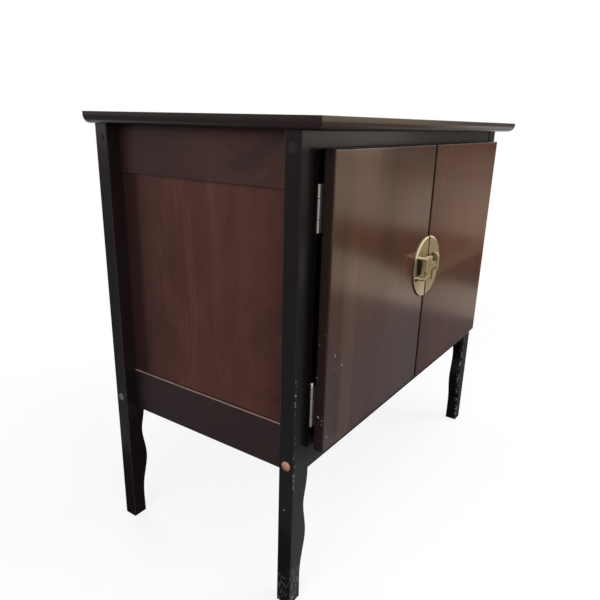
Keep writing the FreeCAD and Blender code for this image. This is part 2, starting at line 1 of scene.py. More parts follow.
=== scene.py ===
"""Record cabinet: finishes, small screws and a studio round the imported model, in metres."""
import json
import math

import bpy
from mathutils import Matrix, Vector

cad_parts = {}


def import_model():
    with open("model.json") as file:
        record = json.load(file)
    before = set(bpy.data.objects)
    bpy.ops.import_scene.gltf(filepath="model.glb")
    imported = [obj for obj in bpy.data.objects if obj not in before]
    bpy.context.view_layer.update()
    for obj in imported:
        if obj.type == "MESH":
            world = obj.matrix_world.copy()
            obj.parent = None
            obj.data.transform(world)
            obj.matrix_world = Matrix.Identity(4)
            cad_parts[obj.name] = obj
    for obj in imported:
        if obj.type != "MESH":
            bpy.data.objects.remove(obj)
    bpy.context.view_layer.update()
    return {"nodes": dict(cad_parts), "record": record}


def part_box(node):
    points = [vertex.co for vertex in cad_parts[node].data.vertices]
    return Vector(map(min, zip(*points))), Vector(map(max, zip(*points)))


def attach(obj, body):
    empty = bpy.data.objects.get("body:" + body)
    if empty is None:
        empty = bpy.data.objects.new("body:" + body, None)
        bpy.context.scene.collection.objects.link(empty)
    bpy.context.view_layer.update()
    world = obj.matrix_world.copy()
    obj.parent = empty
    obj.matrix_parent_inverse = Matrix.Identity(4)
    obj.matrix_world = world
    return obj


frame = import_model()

NODES = frame["nodes"]

# Camera, as fitted to the photograph
CAMERA_PLACE = (-0.92503, -0.54517, 0.69285)
CAMERA_AIM = (0.78325, 0.53419, -0.31804)
CAMERA_ROLL = math.radians(1.482)
CAMERA_LENS = 34.16
CAMERA_SENSOR = 36.0
CAMERA_SHIFT = (0.0076, 0.0209)
CAMERA_NEAR = 0.01

# Colours, as they look on a screen, from 0 to 255
EBONY_DARK = (20, 16, 18)
EBONY_PALE = (31, 26, 28)
EBONY_SHADE = (6, 5, 5)
EBONY_PAINTED_LIGHT = (46, 33, 34)
SCUFF = (186, 184, 182)
TOP_DARK = (38, 28, 29)
TOP_PALE = (52, 41, 40)
TOP_TAN = (88, 75, 61)
TOP_WARM = (62, 46, 44)
TOP_PURPLE = (54, 40, 44)
TOP_GREY = (121, 120, 121)
RAIL_DARK = (46, 31, 30)
RAIL_PALE = (66, 46, 44)
LOW_RAIL_SHEEN = (46, 37, 38)
RAIL_RED = (78, 50, 43)
LEDGE_HIGHLIGHT = (170, 142, 132)
PANEL_DARK = (64, 37, 32)
PANEL_PALE = (94, 57, 49)
PANEL_SMEAR = (110, 71, 60)
PANEL_GRIME_AND_SHADE = (34, 22, 22)
DOOR_DARK = (62, 37, 27)
DOOR_PALE = (98, 64, 48)
DOOR_RED = (90, 52, 37)
DOOR_RIGHT = (106, 69, 51)
DOOR_OLIVE = (102, 80, 58)
DOOR_LOW_SHEEN = (75, 57, 55)
DOOR_TOP_GLINT = (150, 128, 114)
DOOR_EDGE = (41, 31, 28)
DOOR_SHEEN_BY_LOCK = (112, 88, 73)
INSIDE_DARK = (96, 64, 42)
INSIDE_PALE = (130, 92, 62)
FRONT_EDGE_DARK = (24, 19, 19)
PLY_DARK = (128, 94, 62)
PLY_PALE = (168, 130, 92)
PLUG_DARK = (24, 21, 23)
PLUG_PALE = (38, 34, 37)
RUBBED_PLUG = (104, 104, 108)
BARE_DARK = (142, 88, 56)
BARE_PALE = (196, 158, 136)
BRASS_BRIGHT = (196, 176, 126)
BRASS_DULL = (138, 120, 76)
BRASS_RUB_AND_HIGHLIGHT = (246, 232, 198)
BRASS_SHADE_AND_GRIME = (44, 23, 25)
BRASS_ROSE_REFLECTION = (192, 168, 142)
BRASS_RAW = (196, 192, 188)
HINGE_BRIGHT = (220, 217, 206)
HINGE_DULL = (174, 168, 152)
STEEL_DARK = (104, 104, 102)
STEEL_PALE = (158, 158, 156)

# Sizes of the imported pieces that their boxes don't give
HINGE_LENGTH = 0.060
KNUCKLE_LENGTH = 0.017
FINIAL_RADIUS = 0.0031
LEAF_THICKNESS = 0.0012
ARM_THICKNESS = 0.004
LUG_WINDOW_TOP = 0.4720
MEETING_GAP = 0.005
PLUG_STAND = 0.0009


def linear(colour):
    """Screen colour to the linear values that shaders take."""
    parts = []
    for part in colour:
        share = part / 255
        parts.append(share / 12.92 if share <= 0.04045 else ((share + 0.055) / 1.055) ** 2.4)
    return (*parts, 1.0)


def past(place, reach):
    """The two places that lie so far past a place."""
    return place + reach[0], place + reach[1]


# How far a normal leans to an axis, from where a mask of such faces starts to where it is full
FACING = (0.4, 0.7)

# Edges: samples of the soft normal, its radius in relief, and how far it leans where an edge is worn
EDGE_SAMPLES = 4
EDGE_SOFTNESS = 0.0009
WORN_LEAN = (0.03, 0.16)
MILLIMETRE = 0.001


class Value:
    """A socket of a material that takes part in Python expressions."""

    def __init__(self, finish, socket):
        self.finish = finish
        self.socket = socket

    def math(self, operation, *operands, clamp=False):
        settings = {"operation": operation, "use_clamp": clamp}
        return self.finish.add("ShaderNodeMath", settings, dict(enumerate(operands)))

    def __add__(self, other):
        return self.math("ADD", self, other)

    __radd__ = __add__

    def __sub__(self, other):
        return self.math("SUBTRACT", self, other)

    def __rsub__(self, other):
        return self.math("SUBTRACT", other, self)

    def __mul__(self, other):
        return self.math("MULTIPLY", self, other)

    __rmul__ = __mul__

    def __abs__(self):
        return self.math("ABSOLUTE", self)

    def higher(self, other):
        return self.math("MAXIMUM", self, other)

    def root(self):
        return self.math("SQRT", self)

    def clamped(self):
        return self.math("ADD", self, 0.0, clamp=True)

    def above(self, low, high):
        """0 below low, 1 above high, smooth in between."""
        return self.finish.add("ShaderNodeMapRange", {"interpolation_type": "SMOOTHSTEP"},
                               {"Value": self, "From Min": low, "From Max": high})

    def below(self, low, high):
        """1 below low, 0 above high, smooth in between."""
        return 1.0 - self.above(low, high)


class Finish:
    """A material under construction round its Principled shader."""

    def __init__(self, name):
        self.material = bpy.data.materials.new(name)
        self.material.use_nodes = True
        self.tree = self.material.node_tree
        self.shader = self.tree.nodes["Principled BSDF"]
        self.coords = self.tree.nodes.new("ShaderNodeTexCoord")

    def add(self, kind, settings=None, inputs=None, output=0):
        """Node of a kind, its settings first and then its sockets; gives one of its outputs."""
        node = self.tree.nodes.new(kind)
        for key, setting in (settings or {}).items():
            setattr(node, key, setting)
        for key, value in (inputs or {}).items():
            if isinstance(value, Value):
                self.tree.links.new(value.socket, node.inputs[key])
            else:
                node.inputs[key].default_value = value
        return Value(self, node.outputs[output])

    def place(self):
        """Place on the piece, all three coordinates."""
        return Value(self, self.coords.outputs["Object"])

    def axis(self, name, source="Object"):
        """One coordinate, of the place or of the normal."""
        return self.add("ShaderNodeSeparateXYZ", None, {0: Value(self, self.coords.outputs[source])}, name)

    def facing(self, name, way=1, lean=FACING):
        """Mask of the faces that look along an axis, or against it where way is -1."""
        normal = self.axis(name, "Normal")
        return (normal if way > 0 else 0.0 - normal).above(*lean)

    def noise(self, stretch, detail=2.0, rough=0.5, bend=0.0, shift=(0, 0, 0), tilt=(0, 0, 0)):
        """Noise from 0 to 1, with so many features a metre along each axis."""
        place = self.add("ShaderNodeMapping", None,
                         {"Vector": self.place(), "Location": shift, "Rotation": tilt, "Scale": stretch})
        return self.add("ShaderNodeTexNoise", None,
                        {"Vector": place, "Scale": 1.0, "Detail": detail, "Roughness": rough,
                         "Distortion": bend})

    def blend(self, mask, low, high):
        """Colour mixed by a mask; a plain colour is given as seen on a screen."""
        inputs = {0: mask}
        for key, colour in ((6, low), (7, high)):
            inputs[key] = colour if isinstance(colour, Value) else linear(colour)
        return self.add("ShaderNodeMix", {"data_type": "RGBA"}, inputs, output=2)

    def soft_normal(self, radius):
        """Normal rounded over the edges."""
        return self.add("ShaderNodeBevel", {"samples": EDGE_SAMPLES}, {"Radius": radius})

    def worn_edges(self, width):
        """Mask of the strips along edges, so wide on either side."""
        hard = self.add("ShaderNodeNewGeometry", output="Normal")
        same = self.add("ShaderNodeVectorMath", {"operation": "DOT_PRODUCT"},
                        {0: self.soft_normal(width), 1: hard}, "Value")
        return (1.0 - same).above(*WORN_LEAN)

    def relief(self, height):
        """Normal of a height in millimetres, on edges softened a little."""
        return self.add("ShaderNodeBump", None, {"Strength": 1.0, "Distance": MILLIMETRE, "Height": height,
                                                 "Normal": self.soft_normal(EDGE_SOFTNESS)})

    def close(self, sockets):
        """Values and links of the Principled shader; gives the material."""
        for key, value in sockets.items():
            if isinstance(value, Value):
                self.tree.links.new(value.socket, self.shader.inputs[key])
            else:
                self.shader.inputs[key].default_value = value
        return self.material

    def close_with(self, shader):
        """Another shader in place of the Principled one; gives the material."""
        self.tree.links.new(shader.socket, self.tree.nodes["Material Output"].inputs["Surface"])
        return self.material


# Layers of grain: features a metre across it, how many times longer than wide, detail, bend
FIGURE = (13.0, 9.0, 3.0, 0.8)
STREAK = (70.0, 30.0, 4.0, 0.4)
FIBRE = (700.0, 50.0, 2.0, 0.0)
PORES = (1200.0, 40.0, 1.0, 0.0)
GRAIN_ROUGH = 0.55
PORE_CUT = (0.60, 0.72)
SMUDGES = (6.0, 6.0, 6.0)
SEED_STEPS = (1.0, 0.7, 1.3)

# How far each layer swings the tone, and how much of the dark colour is in the pores
FIGURE_SWING, STREAK_SWING, FIBRE_SWING, SMUDGE_SWING = 1.1, 0.7, 0.35, 0.5
PORE_SHARE = 0.35

# Lacquer: rise and depth in millimetres, waves a metre, and swings of the roughness
FIBRE_RISE, PORE_DEPTH = 0.006, 0.008
WAVES = (7.0, 7.0, 5.0)
SMUDGE_ROUGH, FIBRE_ROUGH = 0.14, 0.05
COAT_ROUGHNESS = 0.14


class Wood(Finish):
    """Wood with its grain along one axis."""

    def __init__(self, name, grain, dark, pale, seed, contrast=1.0):
        super().__init__(name)
        shift = tuple(seed * step for step in SEED_STEPS)

        def grained(layer):
            across, length, detail, bend = layer
            stretch = tuple(across / length if axis == grain else across for axis in "XYZ")
            return self.noise(stretch, detail, GRAIN_ROUGH, bend, shift)

        self.figure = grained(FIGURE)
        self.streak = grained(STREAK)
        self.fibre = grained(FIBRE)
        self.pores = grained(PORES).above(*PORE_CUT)
        self.smudge = self.noise(SMUDGES, detail=3.0, rough=0.6, bend=0.4, shift=shift)
        tone = (self.figure - 0.5) * FIGURE_SWING + (self.streak - 0.5) * STREAK_SWING
        tone = tone + (self.fibre - 0.5) * FIBRE_SWING
        tone = (tone * contrast + (self.smudge - 0.5) * SMUDGE_SWING + 0.5).clamped()
        self.colour = self.blend(tone, dark, pale)
        self.colour = self.blend(self.pores * PORE_SHARE, self.colour, dark)

    def paint(self, mask, colour, share=None):
        """Another colour, or a share of it, where a mask says so."""
        if share:
            mask = mask * share
        self.colour = self.blend(mask.clamped(), self.colour, colour)

    def lacquered(self, rough, shine, wave=0.0, coat=0.0):
        """Close the material with a lacquer; wave is its unevenness in millimetres, coat a second gloss."""
        height = self.fibre * FIBRE_RISE - self.pores * PORE_DEPTH
        if wave:
            height = height + self.noise(WAVES, detail=1.0, rough=0.4) * wave
        rough = rough + (self.smudge - 0.5) * SMUDGE_ROUGH + (self.fibre - 0.5) * FIBRE_ROUGH
        return self.close({"Base Color": self.colour, "Roughness": rough.clamped(),
                           "Specular IOR Level": shine, "Coat Weight": coat,
                           "Coat Roughness": COAT_ROUGHNESS, "Normal": self.relief(height)})


# Ebonized wood: the painted shade in the corner beside the doors, as reaches past the door's low edge, high
# edge and hinge side
CORNER_LOW, CORNER_HIGH, CORNER_SIDE = (-0.02, 0.02), (-0.006, 0.008), (0.006, 0.034)
FRONT_POST_DEPTH = (0.02, 0.03)
# Painted light: lighter, browner fronts of the back posts, more so higher up
BACK_POST_Y, BACK_POST_Z = (0.10, 0.12), (0.26, 0.30)
# Scrapes on the front left foot
FOOT_Z, LEFT_LEG_X, LEFT_LEG_Y = (0.03, 0.075), (-0.32, -0.30), (-0.12, -0.10)
SCRAPES, SCRAPE_TILT, SCRAPE_CUT = (700.0, 700.0, 130.0), (0.35, 0.45, 0.0), (0.55, 0.62)
BLOTCHES, BLOTCH_CUT = (90.0, 90.0, 60.0), (0.40, 0.52)
# Chips along the legs' edges, on the right leg's inner face and on the front left post
CHIP_WIDTH, CHIP_Z = 0.0028, (0.34, 0.44)
CHIPS, CHIP_CUT = (300.0, 300.0, 150.0), (0.54, 0.62)
RUBS, RUB_CUT = (14.0, 14.0, 14.0), (0.46, 0.60)
RIGHT_LEG_IN, RIGHT_LEG_OUT, RIGHT_LEG_Z = (0.28, 0.29), (0.352, 0.356), (0.22, 0.26)
INNER_DEPTH, INNER_CUT = (0.004, 0.008), (0.54, 0.60)
KNOCKED_WIDTH, KNOCKED_CUT = (0.003, 0.006), (0.58, 0.64)
KNOCKED_FROM, KNOCKED_TO = (0.19, 0.22), (0.35, 0.39)
# One pale knock on the side of the front left leg
KNOCK, KNOCK_RADIUS = (-0.368, -0.1543, 0.1671), (0.0007, 0.0014)


def ebony():
    """Black lacquer over upright grain: the back posts' fronts painted lighter and browner, scraped feet,
    chips, and painted shade with duller lacquer beside the doors.
    """
    wood = Wood("ebonized_wood", "Z", EBONY_DARK, EBONY_PALE, seed=3.1)
    height, across, along = wood.axis("Z"), wood.axis("X"), wood.axis("Y")
    fronts = wood.facing("Y", -1)
    low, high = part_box("left_door")
    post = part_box("front_left_post")[0]
    front_posts = along.below(*past(post.y, FRONT_POST_DEPTH))
    beside = height.above(*past(low.z, CORNER_LOW)) * height.below(*past(high.z, CORNER_HIGH))
    beside = beside * fronts * front_posts
    # Painted shade: the posts' fronts go near black in the corner beside the doors
    corner_shade = abs(across).below(*past(-low.x, CORNER_SIDE)) * beside
    wood.paint(corner_shade, EBONY_SHADE, share=0.95)
    # Painted light: the back posts' fronts lighter and browner, more so higher up
    wood.paint(fronts * along.above(*BACK_POST_Y) * (height.above(*BACK_POST_Z) * 0.6 + 0.35), EBONY_PAINTED_LIGHT)

    foot = height.below(*FOOT_Z)
    left_leg = across.below(*LEFT_LEG_X) * along.below(*LEFT_LEG_Y)
    scrapes = wood.noise(SCRAPES, detail=2.0, rough=0.6, bend=0.3, tilt=SCRAPE_TILT).above(*SCRAPE_CUT)
    blotches = wood.noise(BLOTCHES, detail=3.0, rough=0.6).above(*BLOTCH_CUT)
    wood.paint(scrapes * blotches * foot * left_leg * (fronts * 0.45 + 0.3), SCUFF)

    edges = wood.worn_edges(CHIP_WIDTH)
    grains = wood.noise(CHIPS, detail=3.0, rough=0.65, bend=0.3)
    rubbed = wood.noise(RUBS, detail=2.0, rough=0.5).above(*RUB_CUT)
    chips = grains.above(*CHIP_CUT) * (rubbed * 0.5 + foot * 0.5) * height.below(*CHIP_Z)
    wood.paint(edges * chips, SCUFF)
    right_leg = across.above(*RIGHT_LEG_IN) * across.below(*RIGHT_LEG_OUT) * height.below(*RIGHT_LEG_Z)
    inner = wood.facing("X", -1) * along.below(*past(post.y, INNER_DEPTH))
    wood.paint(grains.above(*INNER_CUT) * right_leg * inner, SCUFF, share=0.8)
    knocked = fronts * across.below(*past(post.x, KNOCKED_WIDTH)) * front_posts
    knocked = knocked * height.above(*KNOCKED_FROM) * height.below(*KNOCKED_TO)
    wood.paint(grains.above(*KNOCKED_CUT) * knocked, SCUFF, share=0.6)
    wood.paint(edges, SCUFF, share=0.08)
    knock = wood.add("ShaderNodeVectorMath", {"operation": "DISTANCE"}, {0: wood.place(), 1: KNOCK}, "Value")
    wood.paint(knock.below(*KNOCK_RADIUS), SCUFF, share=0.8)
    return wood.lacquered(rough=0.26, shine=0.12, coat=(1.0 - corner_shade.higher(beside * 0.75)) * 0.5)


# Top board: depth of the tan under the upper face, where the front turns grey, and how both wander; these
# front tones are partly bleached wood and partly painted reflection
TAN_DEPTH, TAN_WANDER = (-0.0085, -0.0065), 0.004
GREY_X, GREY_WANDER = (-0.14, 0.24), 0.3
UNDERCUT_FACING = (0.25, 0.5)


def top_wood():
    """Dark board, its front edge partly bleached and partly painted with reflections: tan above at the left,
    greyer below towards the right.
    """
    wood = Wood("top_wood", "X", TOP_DARK, TOP_PALE, seed=5.7)
    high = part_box("top_board")[1]
    fronts = wood.facing("Y", -1, UNDERCUT_FACING)
    upper = (wood.axis("Z") + (wood.streak - 0.5) * TAN_WANDER).above(*past(high.z, TAN_DEPTH))
    right = (wood.axis("X") + (wood.figure - 0.5) * GREY_WANDER).above(*GREY_X)
    # Painted reflection, with some bleaching, along the front edge
    wood.paint(fronts * upper, wood.blend(right, TOP_TAN, TOP_PURPLE))
    wood.paint(fronts * (1.0 - upper), wood.blend(right, TOP_WARM, TOP_GREY))
    return wood.lacquered(rough=0.3, shine=0.22, wave=0.05)


# Side rails: red clouds, a painted greyer sheen on the low rail, painted shade by the back post, and the
# painted highlight of the ledge under the panel
CLOUDS, CLOUD_SHIFT, CLOUD_CUT, CLOUD_Y = (9.0, 9.0, 14.0), (0.4, 0.2, 0), (0.40, 0.66), (-0.05, 0.12)
LOW_RAIL_TOP = (-0.001, 0.003)
RAIL_SHADE = (-0.035, 0.0)
LEDGE_UNDER, LEDGE_OVER = (-0.0006, -0.0002), (0.002, 0.004)
LEDGE_PATCHES, LEDGE_CUT = (30.0, 60.0, 30.0), (0.2, 0.5)


def side_rail():
    """Dark rail, its long grain running back; the low rail painted greyer as sheen, painted shade by the back
    post, and a painted highlight on the ledge under the panel.
    """
    wood = Wood("side_rail_wood", "Y", RAIL_DARK, RAIL_PALE, seed=1.9)
    height, along = wood.axis("Z"), wood.axis("Y")
    ledge_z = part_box("left_bottom_side_rail")[1].z
    panel_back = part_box("left_side_panel")[1].y
    clouds = wood.noise(CLOUDS, detail=3.0, rough=0.6, bend=0.6, shift=CLOUD_SHIFT).above(*CLOUD_CUT)
    wood.paint(clouds * along.below(*CLOUD_Y), RAIL_RED, share=0.7)
    # Painted sheen: the low rail greyer, as it mirrors the floor
    wood.paint(height.below(*past(ledge_z, LOW_RAIL_TOP)), LOW_RAIL_SHEEN, share=0.85)
    # Painted shade by the back post
    wood.paint(along.above(*past(panel_back, RAIL_SHADE)), EBONY_SHADE, share=0.75)
    # Painted highlight along the ledge
    ledge = height.above(*past(ledge_z, LEDGE_UNDER)) * height.below(*past(ledge_z, LEDGE_OVER))
    patches = wood.noise(LEDGE_PATCHES, detail=3.0, rough=0.6).above(*LEDGE_CUT)
    wood.paint(ledge * (patches * 0.4 + 0.6), LEDGE_HIGHLIGHT)
    return wood.lacquered(rough=0.4, shine=0.25)


# Side panel: smears in its middle, mottling outside it, and painted shade as reaches from its borders
SMEARS, SMEAR_CUT = (9.0, 26.0, 4.0), (0.42, 0.80)
MIDDLE_FROM, MIDDLE_TO = (-0.11, -0.02), (0.06, 0.14)
MOTTLES, MOTTLE_CUT = (14.0, 14.0, 10.0), (0.45, 0.75)
BACK_SHADE, BACK_BLACK, FRONT_SHADE = (-0.11, -0.004), (-0.05, -0.03), (0.005, 0.070)
TOP_SHADE, LEDGE_SHADE = (-0.012, -0.004), (0.0015, 0.004)


def side_panel():
    """Reddish veneer, grain upright, rubbed lighter in the middle, mottled darker outside it, and with
    painted shade along its borders.
    """
    wood = Wood("side_panel_wood", "Z", PANEL_DARK, PANEL_PALE, seed=8.3, contrast=0.7)
    low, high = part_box("left_side_panel")
    along, height = wood.axis("Y"), wood.axis("Z")
    middle = along.above(*MIDDLE_FROM) * along.below(*MIDDLE_TO)
    smears = wood.noise(SMEARS, detail=4.0, rough=0.65, bend=1.0).above(*SMEAR_CUT)
    wood.paint(smears * (middle * 0.55 + 0.15), PANEL_SMEAR)
    mottles = wood.noise(MOTTLES, detail=4.0, rough=0.65, bend=0.8).above(*MOTTLE_CUT)
    wood.paint(mottles * (1.0 - middle), PANEL_GRIME_AND_SHADE, share=0.45)
    # Painted shade along the panel's borders
    border_shade = along.above(*past(high.y, BACK_SHADE)) * 0.8
    border_shade = border_shade.higher(along.above(*past(high.y, BACK_BLACK)))
    border_shade = border_shade.higher(along.below(*past(low.y, FRONT_SHADE)) * 0.6)
    border_shade = border_shade.higher(height.above(*past(high.z, TOP_SHADE)) * 0.5)
    ledge_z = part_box("left_bottom_side_rail")[1].z
    border_shade = border_shade.higher(height.below(*past(ledge_z, LEDGE_SHADE)))
    wood.paint(border_shade, PANEL_GRIME_AND_SHADE, share=0.85)
    return wood.lacquered(rough=0.36, shine=0.3)


# Door veneer: heights are reaches from the left door's low edge and depths under its high edge
RIBBONS, RIBBON_SHIFT = (19.0, 19.0, 0.8), (1.7, 0, 0)
RED_CUT, RED_RISE = (0.42, 0.66), (0.12, 0.26)
RIGHT_DOOR_X, RIGHT_RISE = (0.0, 0.08), (0.26, 0.34)
DARK_CUT = (0.30, 0.48)
OLIVE_X, OLIVE_RISE, OLIVE_DEPTH = (0.10, 0.20), 0.26, 0.02
SHADED_X, SHADED_WANDER, SHADED_RISE, SHADED_DEPTH = (0.09, 0.16), 0.1, 0.29, 0.01
LEFT_DOOR_END = (-0.001, 0.001)
LOW_SHEEN, LOW_SHEEN_SHIFT, LOW_SHEEN_CUT, LOW_SHEEN_RISE = (26.0, 26.0, 3.0), (0, 0, 2.0), (0.25, 0.75), (0.10, 0.23)
PALE_STREAK_X, PALE_STREAK_WIDTH, PALE_STREAK_RISE = 0.055, (0.008, 0.026), (0.24, 0.32)
DOOR_EDGE_FACING = (0.55, 0.85)
NICKS, NICK_CUT = (150.0, 150.0, 130.0), (0.735, 0.775)
NICK_X, NICK_RISE = (0.05, 0.09), (0.12, 0.19)
TOP_GLINT_WIDTH, TOP_GLINT_DEPTH, TOP_GLINT_X, TOP_GLINT_CUT = 0.0016, (-0.003, -0.002), (0.0, 0.01), (0.3, 0.5)
# Lacquer rubbed dull by hands beside the lock, and painted paler there to stand in for the reflection it
# loses
HANDLED_HEIGHT, HANDLED_SIDE, SHEEN_FADE = (0.020, 0.040), (-0.060, -0.025), (-0.03, 0.02)


def door_veneer():
    """Glossy ribboned veneer, grain upright: painted reflection low down, painted olive sheen and a painted
    dark band high on the left door, dark edges, painted shade on the top faces, white nicks, a painted
    highlight along the right door's top edge, and dull by the lock with a paler painted sheen there.
    """
    wood = Wood("door_wood", "Z", DOOR_DARK, DOOR_PALE, seed=2.3, contrast=0.8)
    low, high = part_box("left_door")
    height, across = wood.axis("Z"), wood.axis("X")
    ribbons = wood.noise(RIBBONS, detail=2.0, rough=0.5, shift=RIBBON_SHIFT)
    wood.paint(ribbons.above(*RED_CUT) * height.above(*past(low.z, RED_RISE)), DOOR_RED, share=0.8)
    right_door = across.above(*RIGHT_DOOR_X) * (ribbons * 0.5 + 0.35)
    wood.paint(right_door * (height.below(*past(low.z, RIGHT_RISE)) * 0.7 + 0.3), DOOR_RIGHT)
    wood.paint(ribbons.below(*DARK_CUT), DOOR_DARK, share=0.5)
    # Painted sheen: olive high on the left door's hinge side
    upper = height.above(low.z + OLIVE_RISE, high.z - OLIVE_DEPTH)
    wood.paint(across.below(*past(low.x, OLIVE_X)) * upper, DOOR_OLIVE, share=0.55)
    left_door = across.below(*past(high.x, LEFT_DOOR_END))
    # Painted shade: a dark band high on the left door, with less gloss there
    shaded = (across + (ribbons - 0.5) * SHADED_WANDER).above(*past(low.x, SHADED_X))
    shaded = shaded * height.above(low.z + SHADED_RISE, high.z - SHADED_DEPTH)
    wood.paint(shaded * left_door, DOOR_DARK, share=0.7)
    # Painted reflection low down on the doors
    low_sheen = wood.noise(LOW_SHEEN, detail=3.0, rough=0.55, bend=0.3, shift=LOW_SHEEN_SHIFT).above(*LOW_SHEEN_CUT) * 0.5 + 0.4
    wood.paint(low_sheen * height.below(*past(low.z, LOW_SHEEN_RISE)), DOOR_LOW_SHEEN)
    streak = abs(across - (low.x + PALE_STREAK_X)).below(*PALE_STREAK_WIDTH) * (wood.streak * 0.6 + 0.4)
    wood.paint(streak * height.below(*past(low.z, PALE_STREAK_RISE)), DOOR_OLIVE, share=0.7)

    lean = abs(wood.axis("X", "Normal")).higher(abs(wood.axis("Z", "Normal")))
    wood.paint(lean.above(*DOOR_EDGE_FACING), DOOR_EDGE)
    # Painted shade on the doors' top faces
    wood.paint(wood.facing("Z"), EBONY_SHADE)
    nicks = wood.noise(NICKS, detail=1.0, rough=0.5).above(*NICK_CUT)
    hinge_side = across.below(*past(low.x, NICK_X)) * height.below(*past(low.z, NICK_RISE))
    wood.paint(nicks * hinge_side, SCUFF, share=0.8)
    # Painted highlight along the right door's top edge
    top_glint = wood.worn_edges(TOP_GLINT_WIDTH) * height.above(*past(high.z, TOP_GLINT_DEPTH))
    wood.paint(top_glint * across.above(*TOP_GLINT_X) * wood.streak.above(*TOP_GLINT_CUT), DOOR_TOP_GLINT)

    plate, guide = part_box("left_lock_plate")[0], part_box("bolt_guide")
    middle = (guide[0].z + guide[1].z) / 2
    # Lacquer dulled beside the lock, and a paler painted sheen there in place of the lost reflection
    handled_and_sheen = abs(height - middle).below(*HANDLED_HEIGHT) * across.above(*past(plate.x, HANDLED_SIDE))
    wood.paint(handled_and_sheen * (height.below(*past(middle, SHEEN_FADE)) * 0.55 + 0.15), DOOR_SHEEN_BY_LOCK)
    gloss = (0.42 + ribbons * 0.45) * (1.0 - shaded * 0.75) * (1.0 - handled_and_sheen * 0.8)
    return wood.lacquered(rough=0.17, shine=0.16, wave=0.10, coat=left_door * gloss)


FRONT_DARK_DEPTH = (0.02, 0.024)


def inside_wood():
    """Plain oiled wood, darker where it shows at the front."""
    wood = Wood("inside_wood", "X", INSIDE_DARK, INSIDE_PALE, seed=4.4)
    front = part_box("floor_board")[0].y
    wood.paint(wood.axis("Y").below(*past(front, FRONT_DARK_DEPTH)), FRONT_EDGE_DARK)
    return wood.lacquered(rough=0.55, shine=0.3)


def plain_wood(name, grain, seed):
    """Bare ply."""
    return Wood(name, grain, PLY_DARK, PLY_PALE, seed).lacquered(rough=0.6, shine=0.3)


# Plugs: end grain, the rubbed low ones at the back, and the painted light side of the bare one
PLUG_RINGS, PLUG_DOTS, PLUG_DOT_CUT = (500.0, 500.0, 500.0), (1500.0, 1500.0, 1500.0), (0.55, 0.7)
RING_RISE, DOT_DEPTH = 0.02, 0.01
LOW_PLUG_Z, BACK_PLUG_Y, RUBBED_RINGS = (0.3, 0.4), (0.0, 0.1), (0.25, 0.55)
LIGHT_SLANT, LIGHT_UNDER, LIGHT_OVER = 0.6, 0.004, 0.002


class Plug(Finish):
    """End grain of a turned plug: fine rings and dots."""

    def __init__(self, name, dark, pale):
        super().__init__(name)
        self.rings = self.noise(PLUG_RINGS, detail=3.0, rough=0.6, bend=1.2)
        self.dots = self.noise(PLUG_DOTS, detail=1.0, rough=0.5).above(*PLUG_DOT_CUT)
        self.colour = self.blend((self.rings * 0.5 + 0.4 - self.dots * 0.2).clamped(), dark, pale)

    def polished(self, rough, dot_rough, shine):
        """Close the material, the dots a little rougher."""
        return self.close({"Base Color": self.colour, "Roughness": rough + self.dots * dot_rough,
                           "Specular IOR Level": shine,
                           "Normal": self.relief(self.rings * RING_RISE - self.dots * DOT_DEPTH)})


def dark_plugs():
    """Stained plugs; the low ones at the back are rubbed grey."""
    plug = Plug("dark_plug_wood", PLUG_DARK, PLUG_PALE)
    low_back = plug.axis("Z").below(*LOW_PLUG_Z) * plug.axis("Y").above(*BACK_PLUG_Y)
    plug.colour = plug.blend(low_back * plug.rings.above(*RUBBED_RINGS), plug.colour, RUBBED_PLUG)
    return plug.polished(rough=0.42, dot_rough=0.2, shine=0.3)


def bare_plug():
    """Plug with its stain knocked off, painted lighter towards its upper front where the light falls."""
    plug = Plug("bare_plug_wood", BARE_DARK, BARE_PALE)
    low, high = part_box("bare_plug")
    # Painted light: paler towards the upper front
    lit = (plug.axis("Z") - plug.axis("Y") * LIGHT_SLANT).above(low.z - low.y * LIGHT_SLANT - LIGHT_UNDER,
                                                                high.z - high.y * LIGHT_SLANT + LIGHT_OVER)
    plug.colour = plug.blend(lit * 0.8 + 0.2, BARE_DARK, plug.colour)
    return plug.polished(rough=0.34, dot_rough=0.15, shine=0.5)


# Brass: tarnish in patches and specks, rubbing marks, worn edges, and faces that count as a back or a side
TARNISH, TARNISH_CUT = (45.0, 45.0, 45.0), (0.35, 0.75)
SPECKS, SPECK_CUT = (900.0, 900.0, 900.0), (0.62, 0.74)
BRASS_RUBS = (600.0, 600.0, 40.0)
BRASS_EDGE_WIDTH = 0.0016
BRASS_FACING = (0.5, 0.8)
RUB_RISE, SPECK_DEPTH = 0.004, 0.002
PATCH_SHARE, SPECK_SHARE, EDGE_SHARE = 0.6, 0.3, 0.9
# How metallic brass is, what painted shade and grime, raw backs and rubbed or highlighted edges take from it,
# and what roughens it
METAL, DARKENED_LOSS, RAW_LOSS, EDGE_LOSS = 0.7, 0.6, 0.6, 0.4
WORN_ROUGH, RUB_ROUGH, DARKENED_ROUGH = 0.12, 0.06, 0.3


